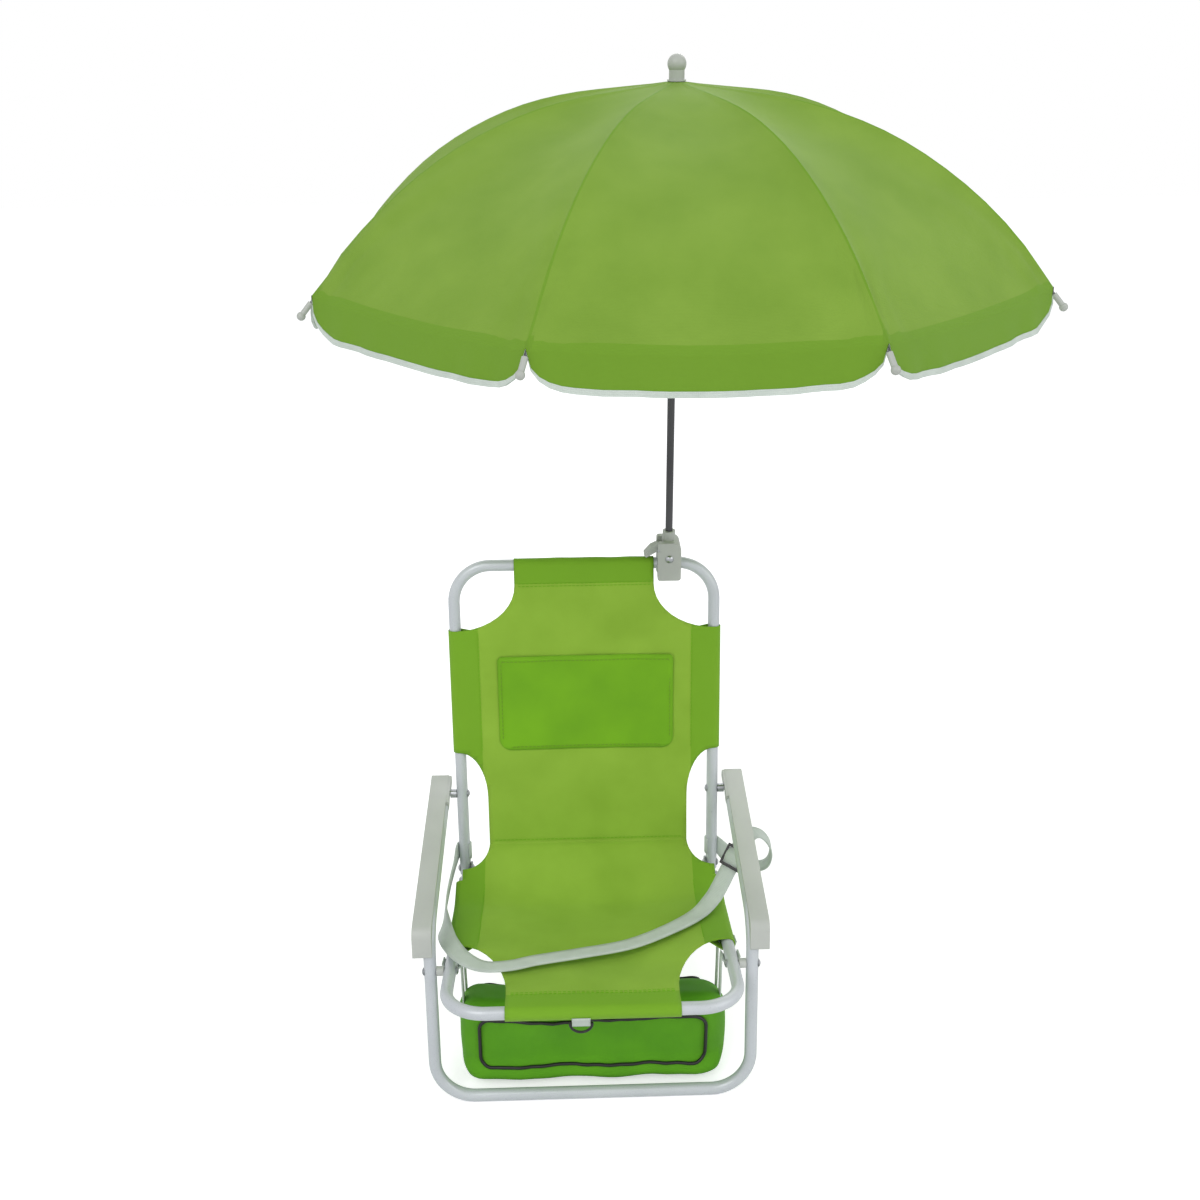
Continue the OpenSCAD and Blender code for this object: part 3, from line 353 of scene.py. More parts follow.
def finishes() -> Paint:
    """Makes one material for each slot.

    Returns:
        The materials by their slots.
    """
    hard = {
        Slot.FRAME: HardFinish((0.82, 0.84, 0.855), (0.78, 0.80, 0.82), 0.32, 0.1, 0.4),
        Slot.STEEL: HardFinish((0.74, 0.75, 0.76), (0.62, 0.63, 0.65), 0.34, 1.0, 0.0, 600.0),
        Slot.ARM: HardFinish((0.775, 0.79, 0.765), (0.735, 0.75, 0.725), 0.46, 0.0, 0.12, 1400.0),
        Slot.WHITE: HardFinish((0.725, 0.74, 0.71), (0.68, 0.70, 0.67), 0.44, 0.0, 0.1, 1400.0),
        Slot.BLACK: HardFinish((0.055, 0.057, 0.06), (0.085, 0.085, 0.085), 0.42, 0.0, 0.1),
        Slot.WIRE: HardFinish((0.33, 0.33, 0.34), (0.27, 0.27, 0.28), 0.4, 0.5, 0.2),
    }
    soft = {
        Slot.SLING: ClothFinish(
            (0.60, 0.765, 0.235), (0.50, 0.67, 0.14),
            two_layers_and_shade=(0.46, 0.68, 0.08), bounds=SLING.double_bounds(),
        ),
        Slot.PATCH: ClothFinish((0.49, 0.735, 0.06), (0.40, 0.63, 0.03)),
        Slot.BAG: ClothFinish((0.38, 0.68, 0.03), (0.28, 0.56, 0.015), thread=0.0013),
        Slot.WEBBING: ClothFinish(
            (0.83, 0.87, 0.835), (0.73, 0.775, 0.735), thread=0.0017, depth=0.0004, creases=60.0
        ),
        Slot.CANOPY: ClothFinish(
            (0.515, 0.66, 0.215), (0.43, 0.585, 0.13), thread=0.0009,
            # From 0.3594 on its map down through the valance the canopy is painted darker: painted shade,
            # not a second layer.
            two_layers_and_shade=(0.43, 0.61, 0.10), bounds=(9.0, -9.0, 0.3594), seam=0.0014,
        ),
    }
    return {slot: finish.make(slot.value) for slot, finish in {**hard, **soft}.items()}


# Mesh helpers


def add_object(name: str, data: bpy.types.ID) -> Piece:
    """Makes an object of some data and puts it in the scene.

    Args:
        name: Its name.
        data: Its mesh, curve, lamp or camera.

    Returns:
        The new object.
    """
    obj = bpy.data.objects.new(name, data)
    bpy.context.scene.collection.objects.link(obj)
    return obj


def new_piece(name: str, bm: bmesh.types.BMesh, material: Material, smooth: bool = True) -> Piece:
    """Turns a bmesh into an object with a material.

    Args:
        name: Name of the piece.
        bm: The finished bmesh, which is freed.
        material: Its material.
        smooth: Whether its faces are shaded smooth.

    Returns:
        The new object.
    """
    mesh = bpy.data.meshes.new(name)
    for f in bm.faces:
        f.smooth = smooth
    bm.to_mesh(mesh)
    bm.free()
    obj = add_object(name, mesh)
    mesh.materials.append(material)
    return obj


def settle(obj: Piece) -> Piece:
    """Applies the piece's modifiers, or turns its curve into a mesh.

    Args:
        obj: The piece.

    Returns:
        The piece as a plain mesh.
    """
    bpy.context.view_layer.update()
    graph = bpy.context.evaluated_depsgraph_get()
    mesh = bpy.data.meshes.new_from_object(obj.evaluated_get(graph))
    if obj.type == "MESH":
        obj.modifiers.clear()
        obj.data = mesh
        return obj
    made = add_object(obj.name + "_mesh", mesh)
    name = obj.name
    bpy.data.objects.remove(obj)
    made.name = name
    return made


def thicken(obj: Piece, thickness: float) -> Piece:
    """Gives a sheet its thickness.

    Args:
        obj: The sheet.
        thickness: Its thickness, half to each side.

    Returns:
        The sheet with its modifiers applied.
    """
    solid = obj.modifiers.new("thickness", "SOLIDIFY")
    solid.thickness = thickness
    solid.offset = 0.0
    return settle(obj)


def fit(piece: Piece, body: str, slot: Slot, *nodes: str) -> None:
    """Puts a piece on its body and hides the CAD nodes that it replaces.

    Args:
        piece: The finished piece.
        body: The body that it rides on.
        slot: Its material slot; not used.
        *nodes: The CAD nodes that it replaces.
    """
    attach(piece, body)
    if nodes:
        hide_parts(*nodes)


def cut_cloth(outline: Sequence[Pair], xs: Sequence[float], ys: Sequence[float]) -> bmesh.types.BMesh:
    """Cuts a flat cloth by its outline and divides it for bending, with its own map.

    Args:
        outline: The corners of the cloth in metres, in turn.
        xs: Where it is divided across.
        ys: Where it is divided along.

    Returns:
        The flat cloth.
    """
    bm = bmesh.new()
    bm.faces.new([bm.verts.new((x, y, 0.0)) for x, y in outline])
    for axis, places in ((Vector((1, 0, 0)), xs), (Vector((0, 1, 0)), ys)):
        for place in places:
            parts = bm.verts[:] + bm.edges[:] + bm.faces[:]
            bmesh.ops.bisect_plane(bm, geom=parts, dist=1e-6, plane_co=axis * place, plane_no=axis)
    bmesh.ops.remove_doubles(bm, verts=bm.verts[:], dist=1e-4)
    return bm


def bend_cloth(bm: bmesh.types.BMesh, place: Callable[[bmesh.types.BMVert], Vector]) -> None:
    """Keeps the flat places as the cloth's own map and moves its points into place.

    Args:
        bm: The flat cloth, in metres.
        place: Gives the place of a point from its flat one.
    """
    layer = bm.loops.layers.uv.new("cloth")
    for face in bm.faces:
        for loop in face.loops:
            loop[layer].uv = loop.vert.co.xy
    for vert in bm.verts:
        vert.co = place(vert)


def steps(low: float, high: float, size: float) -> list[float]:
    """Even places between two ends, without the ends.

    Args:
        low: One end.
        high: The other end.
        size: About how far apart the places are.

    Returns:
        The places.
    """
    count = max(1, round((high - low) / size))
    return [low + (high - low) * i / count for i in range(1, count)]


@dataclass
class Route:
    """A smooth line through given points, each with a direction across it."""

    points: list[Vector]
    across: list[Vector]
    spread: list[float] = field(default_factory=list)
    line: list[Vector] = field(default_factory=list)
    side: list[Vector] = field(default_factory=list)

    def __post_init__(self) -> None:
        """Runs a smooth line through the points."""
        per_span = 8
        last = len(self.points) - 1
        for i in range(last):
            for j in range(per_span + (i == last - 1)):
                t = j / per_span
                self.line.append(self.between(self.points, i, t))
                self.side.append(self.between(self.across, i, t).normalized())
        self.spread = [0.0]
        for a, b in zip(self.line, self.line[1:]):
            self.spread.append(self.spread[-1] + (b - a).length)

    def between(self, values: list[Vector], i: int, t: float) -> Vector:
        """A place on a curve through the values.

        Args:
            values: The values in turn.
            i: Number of the span.
            t: Share of the way along the span.

        Returns:
            The place.
        """
        last = len(values) - 1
        a, b, c, d = (values[min(max(k, 0), last)] for k in (i - 1, i, i + 1, i + 2))
        square, cube = 2 * a - 5 * b + 4 * c - d, 3 * b - a - 3 * c + d
        return 0.5 * (2 * b + (c - a) * t + square * t**2 + cube * t**3)

    @property
    def length(self) -> float:
        """The length of the line."""
        return self.spread[-1]

    def frame(self, along: float) -> tuple[Vector, Vector, Vector]:
        """The line's directions at one point.

        Args:
            along: Distance along the line.

        Returns:
            The point, the way across and the way out.
        """
        along = min(max(along, 0.0), self.length)
        i = min(max(bisect_right(self.spread, along) - 1, 0), len(self.line) - 2)
        t = (along - self.spread[i]) / max(self.spread[i + 1] - self.spread[i], 1e-9)
        here = self.line[i].lerp(self.line[i + 1], t)
        before = self.line[max(i - 1, 0)]
        after = self.line[min(i + 2, len(self.line) - 1)]
        forward = (after - before).normalized()
        raw = self.side[i].lerp(self.side[i + 1], t)
        across = (raw - raw.dot(forward) * forward).normalized()
        return here, across, forward.cross(across)


def ribbon(name: str, route: Route, width: float, thickness: float, material: Material) -> Piece:
    """A flat band of webbing along a route.

    Args:
        name: Name of the piece.
        route: The line of its middle.
        width: Its width.
        thickness: Its thickness.
        material: Its material.

    Returns:
        The band, with its thickness.
    """
    along = max(12, round(route.length / 0.004))
    bm = bmesh.new()
    bmesh.ops.create_grid(bm, x_segments=4, y_segments=along, size=0.5)
    bmesh.ops.scale(bm, vec=(width, route.length, 1.0), verts=bm.verts[:])
    bmesh.ops.translate(bm, vec=(0.0, route.length / 2, 0.0), verts=bm.verts[:])

    def place(vert: bmesh.types.BMVert) -> Vector:
        """The point of the band for a flat one."""
        here, across, _ = route.frame(vert.co.y)
        return here + vert.co.x * across

    bend_cloth(bm, place)
    return thicken(new_piece(name, bm, material), thickness)


def cord_line(name: str, points: Sequence[Vector], radius: float, material: Material) -> Piece:
    """A thin round line in a ring, sewn on a piece as piping.

    Args:
        name: Name of the piece.
        points: The line's points.
        radius: Its radius.
        material: Its material.

    Returns:
        The line as a mesh.
    """
    curve = bpy.data.curves.new(name, "CURVE")
    curve.dimensions = "3D"
    curve.bevel_depth = radius
    curve.bevel_resolution = 2
    spline = curve.splines.new("POLY")
    spline.points.add(len(points) - 1)
    for point, co in zip(spline.points, points):
        point.co = (*co, 1.0)
    spline.use_cyclic_u = True
    obj = settle(add_object(name, curve))
    obj.data.materials.clear()
    obj.data.materials.append(material)
    for polygon in obj.data.polygons:
        polygon.use_smooth = True
    return obj


class Stitches:
    """Rows of thread, each stitch a small raised bar."""

    pitch = 0.0046
    length = 0.0031
    width = 0.0008

    def __init__(self) -> None:
        """Starts with no stitches."""
        self.bm = bmesh.new()

    def row(self, path: Callable[[float], tuple[Vector, Vector]], length: float) -> None:
        """Sews one row.

        Args:
            path: Gives the point and the way out of the cloth at a distance along the row.
            length: Length of the row.
        """
        count = int(length / self.pitch)
        for i in range(count):
            middle = (i + 0.5) * length / count
            here, out = path(middle)
            forward = (path(middle + 0.001)[0] - path(middle - 0.001)[0]).normalized()
            across = forward.cross(out).normalized()
            turn = Matrix((forward * self.length, across * self.width, out * self.width * 0.8)).transposed()
            bmesh.ops.create_cube(self.bm, size=1.0, matrix=Matrix.Translation(here) @ turn.to_4x4())

    def piece(self, name: str, material: Material) -> Piece:
        """Makes the rows one piece."""
        return new_piece(name, self.bm, material, smooth=False)


def softened(
    node: str, name: str, radius: float, pick: Callable[[Vector], bool], material: Material
) -> Piece:
    """A copy of a CAD solid whose picked sharp edges are rounded.

    Args:
        node: The CAD node.
        name: Name of the copy.
        radius: Radius of the rounding.
        pick: Tells from a point whether its edge may be rounded.
        material: Its material.

    Returns:
        The copy, which replaces the node.
    """
    bm = bmesh.new()
    bm.from_mesh(FRAME["nodes"][node].data)
    bmesh.ops.remove_doubles(bm, verts=bm.verts[:], dist=2e-6)
    bmesh.ops.dissolve_limit(
        bm, angle_limit=math.radians(1.0), verts=bm.verts[:], edges=bm.edges[:],
        use_dissolve_boundaries=False,
    )
    sharp = [
        e for e in bm.edges
        if len(e.link_faces) == 2 and e.calc_face_angle(0.0) > math.radians(40.0)
        and all(pick(v.co) for v in e.verts)
    ]
    bmesh.ops.bevel(
        bm, geom=sharp, offset=radius, offset_type="OFFSET", segments=4, profile=0.5,
        affect="EDGES", clamp_overlap=True, material=-1,
    )
    bmesh.ops.triangulate(bm, faces=[f for f in bm.faces if len(f.verts) > 4])
    obj = new_piece(name, bm, material)
    smooth_by_angle(obj)
    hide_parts(node)
    return obj


def smooth_by_angle(obj: Piece, degrees: float = 32.0) -> None:
    """Shades a piece smooth except at its sharp edges.

    Args:
        obj: The piece.
        degrees: The angle from which an edge is sharp.
    """
    bm = bmesh.new()
    bm.from_mesh(obj.data)
    for edge in bm.edges:
        edge.smooth = edge.calc_face_angle(0.0) < math.radians(degrees)
    bm.to_mesh(obj.data)
    bm.free()


# The sling


@dataclass(frozen=True)
class Sling:
    """The cloth of seat and back: one piece that is sewn into sleeves round the tubes."""

    waist_half: float = 116.0
    front_half: float = 86.0
    top_half: float = 78.0
    sleeve_width: float = 26.0
    thickness: float = 1.0
    seat_sleeve: Pair = (38.0, 165.0)
    plate_start: float = 115.0
    back_sleeve: Pair = (148.0, 294.0)
    crease_from: float = 122.0
    crease_to: float = 34.0
    front_cut: float = -62.0
    crease_cut: float = 32.0
    waist_cut: float = 92.0
    top_cut: float = 346.0
    turn_in: float = 20.0
    seat_sag: float = 6.0
    back_sag: float = 5.0
    lap: float = 1.8
    crease_pull: Pair = (0.42, 0.3)
    groove: Pair = (2.2, 1.8)
    soft_fold: float = 1.3
    fine_fold: float = 0.5

    def side_line(self) -> tuple[list[Vector], dict[str, float]]:
        """Draws the sling's side view, in millimetres.

        Returns:
            Its points, and the distance along it of each mark.
        """
        c, r = CHAIR, CHAIR.sheet_r
        points: list[Vector] = []
        marks: dict[str, int] = {}
        for i in range(9):
            t = i / 8
            height = (r - self.lap) * (1 - smooth_step(t)) - r * smooth_step(t)
            points.append(c.on_seat(-c.seat_front + self.turn_in * (1 - t), height))
        for i in range(1, 13):
            a = math.radians(-90.0 - 15.0 * i)
            points.append(c.on_seat(-c.seat_front + r * math.cos(a), r * math.sin(a)))
        marks["front"] = len(points) - 1
        seat_len, back_len = self.crease_from + c.seat_front, c.back_len - self.crease_to
        points += [c.on_seat(-c.seat_front + seat_len * i / 40, r) for i in range(1, 41)]
        marks["crease"] = len(points) - 1
        low, high = c.on_seat(self.crease_from, r), c.on_back(self.crease_to, r)
        gap = (high - low).length
        ahead, behind = self.crease_pull
        a, b = low + ahead * gap * c.seat_dir, high.lerp(low, behind)
        for i in range(1, 21):
            t = i / 20
            points.append(
                (1 - t) ** 3 * low + 3 * t * (1 - t) ** 2 * a + 3 * t * t * (1 - t) * b + t**3 * high
            )
        marks["back"] = len(points) - 1
        points += [c.on_back(self.crease_to + back_len * i / 50, r) for i in range(1, 51)]
        marks["top"] = len(points) - 1
        for i in range(1, 13):
            a = math.radians(15.0 * i)
            points.append(c.on_back(c.back_len + r * math.sin(a), r * math.cos(a)))
        for i in range(1, 9):
            t = i / 8
            height = -r * (1 - smooth_step(t)) + (r - self.lap) * smooth_step(t)
            points.append(c.on_back(c.back_len - self.turn_in * t, height))
        spread = [0.0]
        for p, q in zip(points, points[1:]):
            spread.append(spread[-1] + (q - p).length)
        zero = spread[marks["front"]] + c.seat_front
        places = {name: spread[i] - zero for name, i in marks.items()}
        return points, {"start": -zero, "end": spread[-1] - zero, **places}

    def double_bounds(self) -> tuple[float, float, float]:
        """Finds where the cloth is a single layer, in metres on its map.

        Returns:
            Half its width, its low end and its high end.
        """
        _, marks = self.side_line()
        return (
            (CHAIR.seat_half - self.sleeve_width) * MM,
            (-CHAIR.seat_front + self.turn_in) * MM,
            (marks["top"] - self.turn_in) * MM,
        )


SLING = Sling()


class SlingSheet:
    """Places points of the flat sling on the chair."""

    def __init__(self) -> None:
        """Works out the side view once."""
        self.points, self.marks = SLING.side_line()
        self.spread = [self.marks["start"]]
        for p, q in zip(self.points, self.points[1:]):
            self.spread.append(self.spread[-1] + (q - p).length)

    def along_back(self, s: float) -> float:
        """The distance along the cloth of a place s up the back."""
        return self.marks["back"] + s - SLING.crease_to

    def side_view(self, along: float) -> tuple[Vector, Vector]:
        """A point of the cloth's side view.

        Args:
            along: Distance along the cloth, in millimetres.

        Returns:
            The point and the way out of the cloth there.
        """
        i = min(max(bisect_right(self.spread, along) - 1, 0), len(self.points) - 2)
        a, b = self.points[i], self.points[i + 1]
        t = (along - self.spread[i]) / (self.spread[i + 1] - self.spread[i])
        last = len(self.points) - 1
        d0 = (b - self.points[max(i - 1, 0)]).normalized()
        d1 = (self.points[min(i + 2, last)] - a).normalized()
        d = d0.lerp(d1, t).normalized()
        return a.lerp(b, t), Vector((-d.y, d.x))

    def hollow(self, x: float, along: float) -> float:
        """How far the cloth sinks between its stitches.

        Args:
            x: Distance across the cloth, in millimetres.
            along: Distance along the cloth, in millimetres.

        Returns:
            The depth, in millimetres.
        """
        half = CHAIR.seat_half - SLING.sleeve_width
        side = max(0.0, 1.0 - (x / half) ** 2)
        seat = (along + CHAIR.seat_front - SLING.turn_in) / (SLING.crease_from + CHAIR.seat_front)
        back = (along - self.marks["back"]) / (self.marks["top"] - SLING.turn_in - self.marks["back"])
        sink = SLING.seat_sag * math.sin(math.pi * min(max(seat, 0.0), 1.0))
        sink += SLING.back_sag * math.sin(math.pi * min(max(back, 0.0), 1.0))
        deep, wide = SLING.groove
        sink += deep * math.exp(-((along - self.marks["back"]) / wide) ** 2)
        fold = 0.0
        if self.marks["start"] + 30 < along < self.marks["end"] - 30 and abs(x) < CHAIR.seat_half:
            ease = smooth_step((CHAIR.seat_half - abs(x)) / 30.0)
            fold = SLING.soft_fold * ease * noise.noise(Vector((x * 0.011, along * 0.018, 3.0)))
            fold += SLING.fine_fold * ease * noise.noise(Vector((x * 0.05, along * 0.02, 7.0)))
        return sink * side + fold

    def place(self, x: float, along: float, out: float = 0.0) -> Vector:
        """The place of a flat point.

        Args:
            x: Distance across the cloth, in millimetres.
            along: Distance along the cloth, in millimetres.
            out: How far it stands out of the cloth.

        Returns:
            The point in the shared frame, in metres.
        """
        here, way = self.side_view(along)
        r, half = CHAIR.sheet_r, CHAIR.seat_half
        past = abs(x) - half
        if past <= 0:
            wide, height = abs(x), out - self.hollow(x, along)
        elif past < math.pi * r:
            a = past / r
            wide, height = half + (r + out) * math.sin(a), (r + out) * math.cos(a) - r
        else:
            back = past - math.pi * r
            wide = half - back
            height = -2 * r - out + (2 * r - SLING.lap) * smooth_step(back / SLING.sleeve_width)
        spot = here + height * way
        return at(math.copysign(wide, x), spot.x, spot.y)

    def outline(self) -> list[Pair]:
        """The edge of the flat cloth.

        Returns:
            Its corners in turn, in metres.
        """
        m, half, b = self.marks, CHAIR.seat_half, self.along_back
        rolled = half + math.pi * CHAIR.sheet_r
        sewn = rolled + SLING.sleeve_width
        waist, top = half - SLING.waist_half, half - SLING.top_half
        cut, plate = SLING.front_cut, SLING.plate_start
        s0, s1 = SLING.seat_sleeve
        b0, b1 = SLING.back_sleeve
        right = [(SLING.front_half, m["start"]), (SLING.front_half, cut)]
        right += quarter((half, cut), half - SLING.front_half, s0 - cut, 180, 90)
        right += [(sewn, s0), (sewn, plate), (rolled, plate + 2), (rolled, s1), (half, s1)]
        right += quarter((half, m["back"] - 1.0), waist, SLING.crease_cut, 270, 180)
        right += quarter((half, b(SLING.waist_cut)), waist, b0 - SLING.waist_cut, 180, 90)
        right += [(sewn, b(b0)), (sewn, b(b1))]
        right += quarter((half, b(SLING.top_cut)), top, SLING.top_cut - b1, 270, 180)
        right += [(SLING.top_half, m["end"])]
        return [(x * MM, y * MM) for x, y in right + [(-x, y) for x, y in reversed(right)]]

    def build(self, paint: Paint) -> None:
        """Makes the sling, its stitches and the patch on the back.

        Args:
            paint: The materials.
        """
        m, half = self.marks, CHAIR.seat_half
        rolled = half + math.pi * CHAIR.sheet_r
        front = -CHAIR.seat_front
        sides = steps(0, half, 7.5) + steps(half, rolled, 2.4) + [half, rolled]
        sides += steps(rolled, rolled + SLING.sleeve_width, 6)
        xs = [0.0] + [s * x * MM for x in sides for s in (-1, 1)]
        ys = steps(m["start"], front - 24, 5) + steps(front - 24, front, 2.4)
        ys += [front] + steps(front, m["crease"], 7.5) + [m["crease"]]
        ys += [m["back"] - 2.5, m["back"] + 2.5]
        ys += steps(m["crease"], m["back"] - 4, 4) + [m["back"]]
        ys += steps(m["back"], m["top"], 7.5) + [m["top"]]
        ys += steps(m["top"], m["top"] + 24, 2.4) + steps(m["top"] + 24, m["end"], 5)
        bm = cut_cloth(self.outline(), xs, [y * MM for y in ys])
        area = sum(f.calc_area() for f in bm.faces)
        bend_cloth(bm, lambda vert: self.place(vert.co.x / MM, vert.co.y / MM))
        sling = thicken(new_piece("sling", bm, paint[Slot.SLING]), SLING.thickness * MM)
        self.place(0.0, m["crease"] - 4.0)
        self.place(0.0, m["back"] + 2.0)
        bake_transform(sling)
        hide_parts("sling_seat", "sling_crease", "sling_back")
        self.sew(paint)
        self.patch(paint)

    def seam(self, start: Pair, end: Pair, out: float = 0.6) -> tuple[Callable, float]:
        """A straight seam between two flat points.

        Args:
            start: One flat point, in millimetres.
            end: The other flat point.
            out: How far the thread stands out of the cloth.

        Returns:
            The seam's path, as Stitches.row takes it, and its length in metres.
        """
        length = math.dist(start, end)

        def path(d: float) -> tuple[Vector, Vector]:
            """Follows the seam.

            Args:
                d: Distance along it, in metres.

            Returns:
                The point and the way out there.
            """
            t = d / MM / length
            u, v = start[0] + (end[0] - start[0]) * t, start[1] + (end[1] - start[1]) * t
            here = self.place(u, v, out)
            return here, (self.place(u, v, out + 1.0) - here).normalized()

        return path, length * MM

    def sew(self, paint: Paint) -> None:
        """Sews the sleeves.

        Args:
            paint: The materials.
        """
        line = CHAIR.seat_half - SLING.sleeve_width
        b, m = self.along_back, self.marks
        rows = {
            "seat": [((s * line, 42.0), (s * line, 160.0)) for s in (-1, 1)]
            + [((-82.0, y), (82.0, y)) for y in (-62.0, -59.0)],
            "back": [((s * line, b(150)), (s * line, b(292))) for s in (-1, 1)]
            + [((-110.0, m["back"] + 4.0), (110.0, m["back"] + 4.0))]
            + [((-75.0, b(y)), (75.0, b(y))) for y in (348, 345)],
        }
        for body, seams in rows.items():
            thread = Stitches()
            for start, end in seams:
                thread.row(*self.seam(start, end))
            fit(thread.piece(f"{body}_stitches", paint[Slot.PATCH]), body, Slot.PATCH)

    def patch(self, paint: Paint) -> None:
        """Makes the bare patch, whose upper edge is loose and wavy, with its hem and stitches.

        Args:
            paint: The materials.
        """
        b = self.along_back
        half, low, high = 100.0, 150.0, 263.0
        corner, slack, hem = 14.0, 40.0, 4.0

        def edge(inset: float) -> list[Pair]:
            """The patch's edge, or a line inside it.

            Args:
                inset: How far inside it runs.

            Returns:
                Its points.
            """
            h, r = half - inset, corner - inset
            right = [(h, b(high - inset - hem)), (h - 3.0, b(high - inset))]
            bottom = quarter((h - r, b(low + inset + r)), r, r, 0, -90)
            left = [(-x, y) for x, y in [*reversed(bottom), *right]]
            return [*reversed(right), *bottom, *left]

        def wave(x: float, v: float) -> float:
            """How far the patch stands out of the sling.

            Args:
                x: Distance across the cloth.
                v: Distance along the cloth.

            Returns:
                The height.
            """
            rise = smooth_step((v - b(high - slack)) / slack)
            ripple = 0.9 + 0.9 * math.sin(x * 0.075 + 0.6)
            return 1.2 + rise * ripple + 0.25 * noise.noise(Vector((x, v, 0)) * 0.04)

        bm = cut_cloth(
            [(x * MM, y * MM) for x, y in edge(0.0)],
            [x * MM for x in steps(-half, half, 5)], [y * MM for y in steps(b(low), b(high), 5)],
        )
        area = sum(f.calc_area() for f in bm.faces)

        def loose(vert: bmesh.types.BMVert) -> Vector:
            """The place of a flat point of the patch."""
            x, y = vert.co.x / MM, vert.co.y / MM
            return self.place(x, y, wave(x, y))

        bend_cloth(bm, loose)
        cloth = thicken(new_piece("patch", bm, paint[Slot.PATCH]), 0.9 * MM)
        fit(cloth, "back", Slot.PATCH, "back_pocket")
        thread = Stitches()
        ring = edge(hem)
        for start, end in zip(ring, ring[1:] + ring[:1]):
            if math.dist(start, end) < 1.0:
                continue
            lift = wave((start[0] + end[0]) / 2, (start[1] + end[1]) / 2) + 0.7
            if abs(start[1] - end[1]) < 0.5 and start[1] > b(200):
                continue
            thread.row(*self.seam(start, end, lift))
        top = b(high - 6.0)

        def top_row(d: float) -> tuple[Vector, Vector]:
            """Follows the row under the loose upper edge.

            Args:
                d: Distance along it, in metres.

            Returns:
                The point and the way out there.
            """
            x = d / MM - half + 5.0
            here = self.place(x, top, wave(x, top) + 0.6)
            return here, (self.place(x, top, wave(x, top) + 1.6) - here).normalized()

        thread.row(top_row, (2 * half - 10.0) * MM)
        fit(thread.piece("patch_stitches", paint[Slot.CANOPY]), "back", Slot.CANOPY)


def quarter(centre: Pair, rx: float, ry: float, start: float, end: float, count: int = 10) -> list[Pair]:
    """Points on part of an ellipse.

    Args:
        centre: Its centre.
        rx: Its radius along x.
        ry: Its radius along y.
        start: The first angle in degrees.
        end: The last angle.
        count: Number of steps between them.

    Returns:
        The points.
    """
    turns = [math.radians(start + (end - start) * i / count) for i in range(count + 1)]
    return [(centre[0] + rx * math.cos(a), centre[1] + ry * math.sin(a)) for a in turns]


# The parasol


